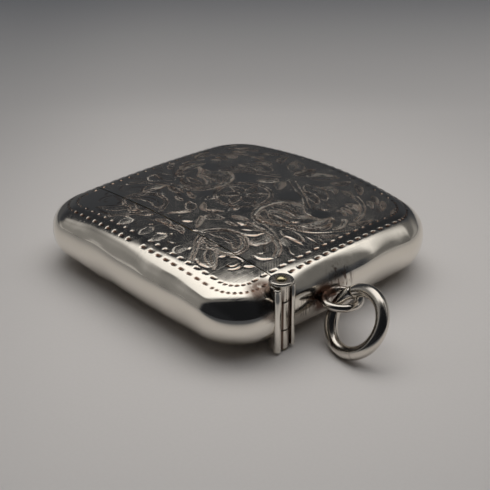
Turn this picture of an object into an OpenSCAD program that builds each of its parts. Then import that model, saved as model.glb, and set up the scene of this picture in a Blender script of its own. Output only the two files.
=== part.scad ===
// Pocket match case lying on its back: a pillow of two pressed shells with a bowed base, a lid hinged
// across one end, a serrated striker let into the base and a hanging ring on a side loop.
// Millimetres. Origin at the middle of the resting flat, +X hinge side, -Y lid end, +Z front face.

/* [Case] */
// Width from side to side
case_w = 42; // [39:0.5:48]
// Length from the lid end to the crown of the base
case_l = 41.6; // [39:0.2:48]
// Thickness over the two domed faces
case_t = 10; // [9.4:0.1:11]
// Sheet thickness of the pressed shells
wall_t = 0.5; // [0.4:0.05:0.65]
// Corner radius at the lid end
lid_corner_r = 6.6; // [5.5:0.1:8]
// Corner radius at the base end
base_corner_r = 8.1; // [6:0.1:9]
// Rise of the bowed base above its corners
base_bow = 3.4; // [2.6:0.1:4.2]
// Width of the rolled edge
edge_roll = 4.3; // [3.8:0.1:5]
// Squareness of the rolled edge, where 2 is an ellipse
roll_power = 2.4; // [2:0.1:2.8]
// Fall of each domed face from its crown to the middle of a side
dome_fall = 1; // [0.6:0.1:1.3]
// Depth of the resting flat on the back dome
rest_flat = 0.3; // [0.15:0.05:0.45]

/* [Lid] */
// Length of the lid along the case
lid_l = 9.1; // [8:0.1:11]
// Gap between the lid and the body
seam_gap = 0.15; // [0.1:0.05:0.25]
// Reach of the mouth collar into the lid
collar_reach = 1.2; // [0.8:0.1:2]
// Length of the mouth collar inside the body
collar_seat = 1.6; // [1:0.1:3]
// Sheet thickness of the mouth collar
collar_t = 0.35; // [0.25:0.05:0.5]
// Clearance between the mouth collar and the shells
collar_clear = 0.12; // [0.08:0.02:0.2]
// Distance from the hinge axis to the open side of the mouth collar
collar_open = 3.2; // [2.6:0.2:6]
// Radius of the thumb piece
thumb_r = 2.2; // [1.8:0.1:2.6]
// How far the thumb piece stands out from the side
thumb_reach = 0.9; // [0.6:0.1:1.2]
// Thickness of the thumb piece
thumb_t = 1; // [0.6:0.1:1.4]

/* [Hinge] */
// Distance of the pin axis inside the side of the case
hinge_inset = 0.9; // [0.7:0.05:1.1]
// Distance of the pin axis from the seam towards the lid end
hinge_drop = 0.5; // [0:0.05:0.7]
// Length of the hinge along its pin
hinge_l = 9.3; // [8.4:0.1:9.4]
// Outer radius of the two bearers
bearer_r = 1.55; // [1.4:0.05:1.8]
// Diameter of the knuckles
knuckle_d = 2.1; // [1.9:0.05:2.1]
// Diameter of the pin
pin_d = 0.7; // [0.5:0.05:0.8]
// Running clearance of the pin and of the knuckles in the bearers
hinge_clear = 0.04; // [0.02:0.01:0.06]
// Length of the lid's own knuckle
lid_knuckle_l = 3.8; // [3:0.1:4.6]
// Gap between neighbouring knuckles
knuckle_gap = 0.1; // [0.06:0.02:0.2]
// Thickness of the beaded front edge of the body's bearer
bead_d = 0.56; // [0.46:0.02:0.6]
// Distance from the pin axis to the middle of the body's bead
bead_at = 1.43; // [1.4:0.01:1.5]
// Angle of the body's bead from straight outwards
bead_angle = 53.5; // [53:0.5:56]
// Thickness of the stouter bead on the lid's bearer
lid_bead_d = 0.98; // [0.9:0.02:1]
// Distance from the pin axis to the middle of the lid's bead
lid_bead_at = 1.6; // [1.58:0.01:1.65]
// Angle of the lid's bead from straight outwards
lid_bead_angle = 60.5; // [60:0.5:64]
// Thickness of the round cap on the upper end of the hinge
cap_t = 0.5; // [0.3:0.05:0.7]
// Gap filled by solder round a soldered piece
solder_gap = 0.03; // [0.02:0.01:0.06]

/* [Lid spring] */
// Length of the spring's soldered root
spring_root = 4; // [3:0.5:6]
// Length of the bent part of the spring
spring_bend = 3.2; // [2.5:0.1:4]
// Width of the spring
spring_w = 3; // [2:0.2:3.4]
// Thickness of the spring
spring_t = 0.25; // [0.15:0.05:0.35]
// Gap between the spring and the bearers
spring_clear = 0.15; // [0.1:0.05:0.3]

/* [Striker] */
// Length of the striker plate along the base
striker_l = 26; // [18:1:27]
// Width of the striker plate
striker_w = 3.4; // [2.6:0.2:4]
// Thickness of the striker plate
striker_t = 0.5; // [0.4:0.05:0.8]
// Spacing of the striker's teeth
tooth_pitch = 0.65; // [0.5:0.05:1]
// Depth of the striker's teeth
tooth_depth = 0.2; // [0.1:0.05:0.3]

/* [Loop and ring] */
// Diameter of the loop at the middle of its wire
loop_d = 4.3; // [4:0.1:5]
// Wire thickness of the loop
loop_wire = 0.9; // [0.7:0.05:1]
// Distance of the loop's centre from the side of the case
loop_out = 2; // [1.9:0.05:2.2]
// Distance of the loop from the seam towards the base
loop_from_seam = 7.1; // [6:0.1:14]
// Diameter of the hanging ring at the middle of its wire
ring_d = 7.8; // [7.4:0.1:9]
// Wire thickness of the hanging ring
ring_wire = 1.68; // [1.3:0.02:1.7]
// Heading of the hanging ring's face
ring_heading = -99.8; // [-105:0.2:-95]
// Turn from the ring's level diameter to where it passes the loop
ring_turn = 18; // [14:1:22]
// Angle of the cut in the hanging ring
ring_cut = 1.4; // [0.8:0.2:3]

/* [Hidden] */
$fn = 96;

silver = [0.80, 0.78, 0.75];
dark_silver = [0.62, 0.60, 0.58];
gilt = [0.82, 0.68, 0.36];
steel = [0.55, 0.56, 0.58];

// Steps of the shell surfaces across the case, round a corner and along a side
face_steps = 36;
corner_steps = 9;
base_steps = 12;
lid_side_steps = 2;
body_side_steps = 7;
collar_steps = 16;
striker_edge_steps = 24;

// Points closer to the outline than this lie on it
on_edge = 1e-6;
// Room that a cut runs past what it cuts
cut_over = 2;

half_w = case_w / 2;
half_l = case_l / 2;
half_t = case_t / 2;
seam_y = lid_l - half_l;
lid_edge_y = seam_y - seam_gap / 2;
body_edge_y = seam_y + seam_gap / 2;

// The bowed base is an arc through both sides; each of its corners is an arc tangent to it and to a side
bow_r = (half_w * half_w + base_bow * base_bow) / (2 * base_bow);
bow_y = half_l - bow_r;
base_cx = half_w - base_corner_r;
base_cy = bow_y + sqrt(pow(bow_r - base_corner_r, 2) - base_cx * base_cx);
base_turn = atan2(base_cy - bow_y, base_cx);
lid_cx = half_w - lid_corner_r;
lid_cy = lid_corner_r - half_l;

hinge_x = half_w - hinge_inset;
hinge_y = seam_y - hinge_drop;
bearer_in_r = knuckle_d / 2 + hinge_clear;
bearer_back_angle = 180 - asin(seam_gap / 2 / bearer_in_r);
bearer_l = hinge_l - cap_t - knuckle_gap;
pocket_r = bearer_r + solder_gap;
end_knuckle_l = (hinge_l - lid_knuckle_l) / 2 - knuckle_gap;
end_knuckle_z = (lid_knuckle_l + end_knuckle_l) / 2 + knuckle_gap;

striker_turn = asin(striker_l / 2 / bow_r);
striker_teeth = floor(striker_l / tooth_pitch);
window_y = half_l - sag(striker_l / 2, bow_r) - edge_roll / 2;

loop_r = loop_d / 2;
loop_x = half_w + loop_out;
loop_y = seam_y + loop_from_seam;
ring_r = ring_d / 2;
ring_wire_r = ring_wire / 2;
// Where the middle of the ring's wire passes the loop, from the loop's centre
ring_pass = [0.21, -0.14, 0.07];
// Room left under the ring where it meets the surface that the case lies on
ring_rest_gap = 0.03;
ring_top = half_t + ring_pass.z - ring_wire_r - ring_rest_gap;
ring_lean = asin(ring_top / (ring_r * (1 + sin(ring_turn))));
ring_down = [cos(ring_lean) * cos(ring_heading), cos(ring_lean) * sin(ring_heading), -sin(ring_lean)];
ring_level = [-sin(ring_heading), cos(ring_heading), 0];
ring_centre = [loop_x, loop_y, half_t] + ring_pass
    + ring_r * (sin(ring_turn) * ring_down + cos(ring_turn) * ring_level);

spring_half_h = crown(half_w, lid_edge_y, 0) - wall_t;
spring_x = half_w - wall_t - solder_gap - roll_width_at(spring_w / 2 / spring_half_h, edge_roll - wall_t);
spring_tip_x = hinge_x - bearer_r - spring_clear;
spring_bend_y = hinge_y + bearer_r;
spring_root_y = spring_bend_y + spring_bend;

// Fall of an arc of radius r at a distance x from its crown
function sag(x, r) = r - sqrt(r * r - x * x);

// Distance of a point inside the outline
function edge_inset(x, y) =
    let (
        out_x = abs(x) - lid_cx,
        out_y = lid_cy - y,
        base_x = abs(x) - base_cx,
        base_y = y - base_cy,
        in_base_corner = base_y > 0 && base_x * (base_cy - bow_y) > base_y * base_cx
    )
    out_x > 0 && out_y > 0 ? lid_corner_r - norm([out_x, out_y])
    : in_base_corner ? base_corner_r - norm([base_x, base_y])
    : min(half_w - abs(x), y + half_l, bow_r - norm([x, y - bow_y]));

// Height of a domed face above the middle plane, cut flat at half the thickness
function crown(x, y, flat) =
    min(half_t, half_t + flat - dome_fall * (pow(x / half_w, 2) + pow(y / half_l, 2)));

// Share of the full height reached at a distance s inside an edge whose roll is width wide
function roll(s, width) =
    s <= on_edge ? 0 : s >= width ? 1 : pow(1 - pow(1 - s / width, roll_power), 1 / roll_power);

// Distance inside the edge at which the roll reaches a share of the full height
function roll_width_at(share, width) = width * (1 - pow(1 - pow(share, roll_power), 1 / roll_power));

// Height of a shell's surface, moved inwards by inset
function face_z(x, y, inset, flat) =
    (crown(x, y, flat) - inset) * roll(edge_inset(x, y) - inset, edge_roll - inset);

// Rows of a shell from low to high y: its y on the middle line, then its end on the outline
function lid_rows(inset) =
    let (r = lid_corner_r - inset)
    concat(
        [for (k = [0 : corner_steps])
            let (turn = 90 * k / corner_steps, y = lid_cy - r * cos(turn))
            [y, lid_cx + r * sin(turn), y]],
        [for (k = [1 : lid_side_steps])
            let (y = lid_cy + (lid_edge_y - lid_cy) * k / lid_side_steps)
            [y, half_w - inset, y]]
    );
function body_rows(inset) =
    let (r = base_corner_r - inset)
    concat(
        [for (k = [0 : body_side_steps])
            let (y = body_edge_y + (base_cy - body_edge_y) * k / body_side_steps)
            [y, half_w - inset, y]],
        [for (k = [1 : base_steps])
            let (turn = base_turn * k / base_steps, rise = sin(90 * k / base_steps))
            [
                base_cy + (half_l - inset - base_cy) * rise,
                base_cx + r * cos(turn),
                base_cy + r * sin(turn)
            ]]
    );

// A point of a shell, at a share of the way from the middle line to the end of a row
function face_point(row, share, inset, flat) =
    let (
        x = row[1] * share,
        bend = sag(x, bow_r - inset) / sag(row[1], bow_r - inset),
        y = row[0] + (row[2] - row[0]) * bend
    )
    [x, y, face_z(x, y, inset, flat)];

function quad(a, b, c, d) = [[a, b, c], [a, c, d]];

// One pressed shell above the middle plane, between its outer and its inner surface
module shell(outer_rows, inner_rows, flat) {
    shares = [for (i = [0 : face_steps]) sin(90 * (2 * i / face_steps - 1))];
    last = len(outer_rows) - 1;
    layer = len(outer_rows) * len(shares);
    function at(j, i) = j * len(shares) + i;
    rim = concat(
        [for (i = [0 : face_steps - 1]) at(0, i)],
        [for (j = [0 : last - 1]) at(j, face_steps)],
        [for (i = [face_steps : -1 : 1]) at(last, i)],
        [for (j = [last : -1 : 1]) at(j, 0)]
    );
    points = concat(
        [for (row = outer_rows, share = shares) face_point(row, share, 0, flat)],
        [for (row = inner_rows, share = shares) face_point(row, share, wall_t, flat)]
    );
    outer = [for (j = [0 : last - 1], i = [0 : face_steps - 1])
        each quad(at(j, i), at(j + 1, i), at(j + 1, i + 1), at(j, i + 1))];
    inner = [for (face = outer) [layer + face[2], layer + face[1], layer + face[0]]];
    edge = [for (k = [0 : len(rim) - 1])
        let (next = rim[(k + 1) % len(rim)])
        each quad(rim[k], next, layer + next, layer + rim[k])];
    polyhedron(points, concat(edge, outer, inner));
}

// Moves a piece made about the middle plane up to the resting frame
module on_middle() {
    translate([0, 0, half_t]) children();
}

module at_hinge() {
    translate([hinge_x, hinge_y, half_t]) children();
}

// Upright round bar about the hinge axis, centred on the middle plane
module upright(d, h) {
    cylinder(d = d, h = h, center = true);
}

// Space that the bearers and their beads take out of the shells
module hinge_pocket() {
    translate([hinge_x, hinge_y, 0]) {
        upright(2 * pocket_r, case_t + cut_over);
        rotate([0, 0, bead_angle]) translate([bead_at, 0, 0])
            upright(bead_d + 2 * solder_gap, case_t + cut_over);
        rotate([0, 0, -lid_bead_angle]) translate([lid_bead_at, 0, 0])
            upright(lid_bead_d + 2 * solder_gap, case_t + cut_over);
    }
}

// Space that the striker plate takes out of the base
module striker_window() {
    length = striker_l + 2 * solder_gap;
    width = striker_w + 2 * solder_gap;
    translate([-length / 2, window_y, -width / 2]) cube([length, edge_roll + cut_over, width]);
}

module body_shell(flat) {
    difference() {
        shell(body_rows(0), body_rows(wall_t), flat);
        hinge_pocket();
        striker_window();
    }
}

module lid_shell(flat) {
    difference() {
        shell(lid_rows(0), lid_rows(wall_t), flat);
        hinge_pocket();
    }
}

module body_front() {
    color(silver) on_middle() body_shell(0);
}

module body_back() {
    color(silver) on_middle() mirror([0, 0, 1]) body_shell(rest_flat);
}

module lid_front() {
    color(silver) on_middle() lid_shell(0);
}

module lid_back() {
    color(silver) on_middle() mirror([0, 0, 1]) lid_shell(rest_flat);
}

// Half of the collar's section: from its open side to the far side, at a depth inside the outline
function collar_line(inset) =
    let (open_x = hinge_x - collar_open, far_x = inset - half_w)
    [for (k = [0 : collar_steps])
        let (x = open_x + (far_x - open_x) * sin(90 * k / collar_steps))
        [x, face_z(x, seam_y - collar_reach, inset, 0)]];

function collar_loop(line) =
    concat(line, [for (k = [len(line) - 2 : -1 : 0]) [line[k].x, -line[k].y]]);

module mouth_collar() {
    outer = collar_loop(collar_line(wall_t + collar_clear));
    inner = collar_loop(collar_line(wall_t + collar_clear + collar_t));
    back_to_start = [for (k = [len(inner) - 1 : -1 : 0]) inner[k]];
    color(dark_silver) on_middle() translate([0, seam_y + collar_seat, 0]) rotate([90, 0, 0])
        linear_extrude(collar_seat + collar_reach) polygon(concat(outer, back_to_start));
}

// A point of the striker at a turn from the crown of the base
function striker_point(turn, r) = [r * sin(turn), bow_y + r * cos(turn)];

module striker_plate() {
    steps = 2 * striker_teeth;
    teeth = [for (k = [0 : steps])
        striker_point(striker_turn * (2 * k / steps - 1), bow_r - (k % 2 == 0 ? tooth_depth : 0))];
    seat = [for (k = [striker_edge_steps : -1 : 0])
        striker_point(striker_turn * (2 * k / striker_edge_steps - 1), bow_r - striker_t)];
    color(dark_silver) on_middle() translate([0, 0, -striker_w / 2])
        linear_extrude(striker_w) polygon(concat(teeth, seat));
}

// Half of the hinge's trough below the cap, with the beaded edge that stops the lid
module bearer(d, at, angle) {
    translate([0, 0, (bearer_l - hinge_l) / 2]) rotate([0, 0, angle]) {
        rotate_extrude(angle = bearer_back_angle - angle)
            translate([bearer_in_r, -bearer_l / 2]) square([bearer_r - bearer_in_r, bearer_l]);
        translate([at, 0, 0]) upright(d, bearer_l);
    }
}

module body_bearer() {
    color(silver) at_hinge() bearer(bead_d, bead_at, bead_angle);
}

module lid_bearer() {
    color(silver) at_hinge() mirror([0, 1, 0]) bearer(lid_bead_d, lid_bead_at, lid_bead_angle);
}

module knuckle(length) {
    difference() {
        upright(knuckle_d, length);
        upright(pin_d + 2 * hinge_clear, length + cut_over);
    }
}

// The upper knuckle also carries the cap that closes the hinge
module upper_knuckle() {
    color(dark_silver) at_hinge() difference() {
        union() {
            translate([0, 0, end_knuckle_z]) upright(knuckle_d, end_knuckle_l);
            translate([0, 0, (hinge_l - cap_t) / 2]) upright(2 * bearer_r, cap_t);
        }
        upright(pin_d + 2 * hinge_clear, hinge_l + cut_over);
    }
}

module lid_knuckle() {
    color(dark_silver) at_hinge() knuckle(lid_knuckle_l);
}

module lower_knuckle() {
    color(dark_silver) at_hinge() translate([0, 0, -end_knuckle_z]) knuckle(end_knuckle_l);
}

module hinge_pin() {
    color(gilt) at_hinge() upright(pin_d, hinge_l);
}

// Leaf spring: soldered to the side, bent inwards to lie behind both bearers
module lid_spring() {
    tip_y = hinge_y - bearer_r / 2;
    path = [
        [spring_x, spring_root_y + spring_root],
        [spring_x, spring_root_y],
        [spring_tip_x, spring_bend_y],
        [spring_tip_x, tip_y]
    ];
    inner = [for (k = [len(path) - 1 : -1 : 0]) path[k] - [spring_t, 0]];
    color(steel) on_middle() translate([0, 0, -spring_w / 2])
        linear_extrude(spring_w) polygon(concat(path, inner));
}

// Lip for the thumb on the side away from the hinge
module thumb_piece() {
    half_chord = sqrt(thumb_r * thumb_r - pow(thumb_r - thumb_reach, 2));
    color(silver) on_middle() difference() {
        translate([thumb_r - thumb_reach - half_w, lid_edge_y - half_chord, 0])
            upright(2 * thumb_r, thumb_t);
        translate([-half_w - solder_gap, -half_l, -thumb_t])
            cube([case_w, case_l, 2 * thumb_t]);
    }
}

// Wire loop, filed flat where it is soldered to the side
module suspension_loop() {
    color(silver) difference() {
        translate([loop_x, loop_y, half_t]) rotate_extrude() translate([loop_r, 0]) circle(d = loop_wire);
        translate([solder_gap, -half_l, 0]) cube([half_w, case_l, case_t]);
    }
}

module hanging_ring() {
    color(silver) translate(ring_centre) rotate([0, ring_lean, ring_heading]) rotate([0, 0, 180 + ring_cut / 2])
        rotate_extrude(angle = 360 - ring_cut) translate([ring_r, 0]) circle(d = ring_wire);
}

body_front();
body_back();
lid_front();
lid_back();
mouth_collar();
striker_plate();
body_bearer();
lid_bearer();
upper_knuckle();
lid_knuckle();
lower_knuckle();
hinge_pin();
lid_spring();
thumb_piece();
suspension_loop();
hanging_ring();
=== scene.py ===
"""Pocket match case: engraved pillow case, pin-hinged lid, striker, side loop and hanging ring.

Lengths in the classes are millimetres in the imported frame: the case lies on its back at z = 0, its
hinge and ring are at +X, its lid end at -Y and its engraved front at +Z. Meshes are in metres.
"""

import logging
import math
from collections.abc import Sequence
from dataclasses import dataclass, field, fields, replace
from enum import Enum
from functools import partial, reduce

import bpy
import numpy as np
from mathutils import Matrix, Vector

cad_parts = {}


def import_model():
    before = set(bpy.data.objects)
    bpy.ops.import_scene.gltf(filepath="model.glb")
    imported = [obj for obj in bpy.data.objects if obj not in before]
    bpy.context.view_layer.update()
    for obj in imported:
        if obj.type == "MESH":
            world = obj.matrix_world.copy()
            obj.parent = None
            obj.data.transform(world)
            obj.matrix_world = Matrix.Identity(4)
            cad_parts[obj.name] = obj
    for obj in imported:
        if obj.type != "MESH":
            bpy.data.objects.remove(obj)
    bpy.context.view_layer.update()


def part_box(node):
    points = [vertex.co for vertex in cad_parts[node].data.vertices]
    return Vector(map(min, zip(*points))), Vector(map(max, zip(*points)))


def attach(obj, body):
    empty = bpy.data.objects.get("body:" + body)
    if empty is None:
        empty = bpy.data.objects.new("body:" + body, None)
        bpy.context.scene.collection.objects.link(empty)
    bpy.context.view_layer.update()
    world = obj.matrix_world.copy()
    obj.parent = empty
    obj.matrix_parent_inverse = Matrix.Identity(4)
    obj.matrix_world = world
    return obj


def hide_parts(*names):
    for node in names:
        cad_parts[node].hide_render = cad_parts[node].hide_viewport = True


LOG = logging.getLogger("match_case")
MM = 0.001
PICTURE_SIDE = 490
FEWEST_POINTS = 8
CURVE_STEPS = 24
TINY = 1e-6

Array = np.ndarray
Colour = tuple[float, float, float]
Spots = tuple[tuple[float, ...], ...]
Solid = tuple[Array, list]
Socket = bpy.types.NodeSocket


class Face(Enum):
    """The two pressed halves of the case."""

    FRONT = 1
    BACK = -1


class Half(Enum):
    """The two parts that the seam divides the case into."""

    BODY = "body"
    LID = "lid"


class CutKind(Enum):
    """How the engraver fills an ornament that follows a line."""

    GROOVE = "groove"
    LEAF = "leaf"
    PATCH = "patch"
    BAND = "band"


def grid_quads(rows: int, cols: int, wrap_cols: bool = False, wrap_rows: bool = False) -> Array:
    """Quads between neighbouring points of a grid that is numbered row by row.

    Args:
        rows: Points along the second parameter.
        cols: Points along the first parameter.
        wrap_cols: Whether the last column joins the first.
        wrap_rows: Whether the last row joins the first.

    Returns:
        Corner numbers, four to a face, wound so that the normal is column step times row step.
    """
    j = np.arange(rows if wrap_rows else rows - 1)[:, None]
    i = np.arange(cols if wrap_cols else cols - 1)[None, :]
    k = (i + 1) % cols
    low, high = j * cols, (j + 1) % rows * cols
    return np.stack([low + i, low + k, high + k, high + i], -1).reshape(-1, 4)


def add_piece(name: str, points: Array, faces: Sequence, finishes: Sequence[bpy.types.Material],
              finish_of_face: Array | None = None) -> bpy.types.Object:
    """Puts a mesh into the scene as a smooth piece.

    Args:
        name: The piece's name.
        points: Corners in millimetres, one row each.
        faces: Corner numbers of each face.
        finishes: Materials of the piece.
        finish_of_face: Which material each face has, or None for the first one.

    Returns:
        The new object, at the origin.
    """
    mesh = bpy.data.meshes.new(name)
    mesh.from_pydata((np.asarray(points) * MM).tolist(), [], faces)
    for finish in finishes:
        mesh.materials.append(finish)
    if finish_of_face is not None:
        mesh.polygons.foreach_set("material_index", finish_of_face.astype(np.int32))
    piece = bpy.data.objects.new(name, mesh)
    bpy.context.scene.collection.objects.link(piece)
    soften(mesh)
    return piece


def soften(mesh: bpy.types.Mesh, corner_deg: float = 38.0) -> None:
    """Shades a mesh smooth, apart from edges that turn by more than corner_deg."""
    mesh.shade_smooth()
    mesh.set_sharp_from_angle(angle=math.radians(corner_deg))
    mesh.update()


def closed_rows(rows: int, count: int) -> list:
    """Faces of a stack of closed rows: the quads between them, and one face over each end."""
    last = (rows - 1) * count
    ends = [list(range(count))[::-1], list(range(last, last + count))]
    return grid_quads(rows, count, wrap_cols=True).tolist() + ends


def grid_border(numbers: Array) -> Array:
    """Numbers at the border of a grid, once round."""
    return np.concatenate([numbers[0, :-1], numbers[:-1, -1], numbers[-1, :0:-1], numbers[:0:-1, 0]])


def unit(vectors: Array) -> Array:
    """Directions of vectors, each of length one."""
    return vectors / np.linalg.norm(vectors, axis=-1, keepdims=True)


def sweep(path: Array, side: Array, up: Array, profile: Array, scale: Array | None = None) -> Solid:
    """Carries a closed profile along a path and caps both ends.

    Point (j, i) is path j, plus the profile's first coordinate along side j and its second along up j,
    both times scale j. The profile runs anticlockwise about side times up, which is the path's heading.

    Args:
        path: Middle line, one point a row.
        side: First axis of the section at each point.
        up: Second axis of the section at each point.
        profile: Closed section, one point a row, or one such section for each point of the path.
        scale: Size of the section at each point, or None for 1.

    Returns:
        Points and faces.
    """
    scale = np.ones(len(path)) if scale is None else scale
    section = np.broadcast_to(profile, (len(path), *profile.shape[-2:])) * scale[:, None, None]
    points = path[:, None] + section[..., :1] * side[:, None] + section[..., 1:] * up[:, None]
    return points.reshape(-1, 3), closed_rows(*section.shape[:2])


def turned(profile: Array, centre: Array, steps: int = 48) -> Solid:
    """Turns a profile about an upright axis.

    Point (j, i) lies at radius j and height j of the profile, at turn i. A profile that starts and ends
    away from the axis is closed by a flat face at each end.

    Args:
        profile: Radius and height, one pair a row, climbing on the outside.
        centre: Point on the axis that heights are measured from.
        steps: Points in a full turn.

    Returns:
        Points and faces.
    """
    turn = np.linspace(0, 2 * np.pi, steps, endpoint=False)
    radius, height = profile[:, :1], profile[:, 1:]
    points = np.stack([radius * np.cos(turn), radius * np.sin(turn), height + 0 * turn], -1) + centre
    return points.reshape(-1, 3), closed_rows(len(profile), steps)


def tube(profile: Array, centre: Array, steps: int = 48) -> Solid:
    """Turns a closed profile about an upright axis, as turned does, and joins its last row to its first.

    Args:
        profile: Closed loop of radius and height, up on the outside and down on the inside.
        centre: Point on the axis that heights are measured from.
        steps: Points in a full turn.

    Returns:
        Points and faces.
    """
    points, _ = turned(profile, centre, steps)
    return points, grid_quads(len(profile), steps, wrap_cols=True, wrap_rows=True).tolist()


def rounded_plate(outline: Array, levels: Array) -> Solid:
    """Stacks copies of a plan outline, each drawn in by a little, and caps the stack.

    Point (j, i) is outline point i, moved along the outline's inward normal by level j's draw, at level
    j's height.

    Args:
        outline: Closed plan outline, anticlockwise.
        levels: Draw and height, one pair a row, from bottom to top.

    Returns:
        Points and faces.
    """
    along = unit(np.roll(outline, -1, 0) - np.roll(outline, 1, 0))
    inward = np.stack([-along[:, 1], along[:, 0]], -1)
    plan = outline[None] + inward[None] * levels[:, None, :1]
    height = np.broadcast_to(levels[:, None, 1:], plan.shape[:2] + (1,))
    points = np.concatenate([plan, height], -1)
    return points.reshape(-1, 3), closed_rows(len(levels), len(outline))


def eased_levels(half_height: float, ease: float, steps: int = 6) -> Array:
    """Levels of a rounded plate: quarter circles of radius ease at the bottom and the top."""
    turn = np.linspace(0, np.pi / 2, steps)
    draw, rise = ease * (1 - np.sin(turn)), ease * (1 - np.cos(turn))
    low = np.stack([draw, rise - half_height], -1)
    return np.vstack([low, low[::-1] * [1, -1]])


def rounded_box(half_x: float, half_y: float, ease: float, steps: int = 5) -> Array:
    """Anticlockwise section of a bar: a rectangle whose corners are quarter circles of radius ease."""
    turn = np.linspace(0, np.pi / 2, steps)
    corner = ease * np.stack([np.cos(turn), np.sin(turn)], -1)
    spin = [np.array([[c, s], [-s, c]]) for c, s in ((1, 0), (0, 1), (-1, 0), (0, -1))]
    at = [(1, 1), (-1, 1), (-1, -1), (1, -1)]
    return np.vstack([corner @ turn_by + np.array(sign) * [half_x - ease, half_y - ease]
                      for turn_by, sign in zip(spin, at)])


def strip(path: Array, up: Sequence[float], half_t: float, half_w: float, ease: float) -> Solid:
    """Carries an eased bar along a path, square to it: half_t to each side and half_w along up."""
    heading = unit(np.gradient(path, axis=0))
    rise = np.broadcast_to(up, path.shape)
    return sweep(path, np.cross(rise, heading), rise, rounded_box(half_t, half_w, ease))


def resampled(line: Array, step: float, closed: bool = False) -> Array:
    """Points at about equal steps of running length along a plan line, without the last one if closed."""
    run = np.concatenate([[0], np.cumsum(np.linalg.norm(np.diff(line, axis=0), axis=1))])
    even = np.linspace(0, run[-1], max(FEWEST_POINTS, int(run[-1] / step)), endpoint=not closed)
    return np.stack([np.interp(even, run, line[:, k]) for k in range(2)], -1)


def spline(control: Array, step: float = 0.05) -> Array:
    """Smooth line through control points: Catmull-Rom cubic pieces, resampled at about equal steps.

    Args:
        control: Points that the line passes, one a row.
        step: Distance between the points returned.

    Returns:
        Points of the line.
    """
    p = np.vstack([2 * control[0] - control[1], control, 2 * control[-1] - control[-2]])
    t = np.linspace(0, 1, CURVE_STEPS, endpoint=False)[None, :, None]
    a, b, c, d = (p[k:len(p) - 3 + k, None, :] for k in range(4))
    square, cube = 2 * a - 5 * b + 4 * c - d, 3 * b - a - 3 * c + d
    line = 0.5 * (2 * b + (c - a) * t + square * t ** 2 + cube * t ** 3)
    return resampled(np.vstack([line.reshape(-1, 2), control[-1:]]), step)


def nearest_on(line: Array, x: Array, y: Array) -> tuple[Array, Array]:
    """Number of the line's point nearest to each place, and the step from that point to the place."""
    gap = np.stack([x, y], -1)[:, None, :] - line[None]
    nearest = np.argmin((gap ** 2).sum(-1), 1)
    return nearest, gap[np.arange(len(x)), nearest]


def leftward(heading: Array, step: Array) -> Array:
    """How far each step goes to the left of its heading."""
    return heading[:, 0] * step[:, 1] - heading[:, 1] * step[:, 0]


def arc(x: float, y: float, r0: float, r1: float, a0: float, a1: float, count: int = 14) -> Array:
    """Points of a spiral about (x, y): radius r0 at a0 degrees, changing evenly to r1 at a1 degrees."""
    share = np.linspace(0, 1, count)
    turn, radius = np.radians(a0 + (a1 - a0) * share), r0 + (r1 - r0) * share
    return np.stack([x + radius * np.cos(turn), y + radius * np.sin(turn)], -1)


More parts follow.
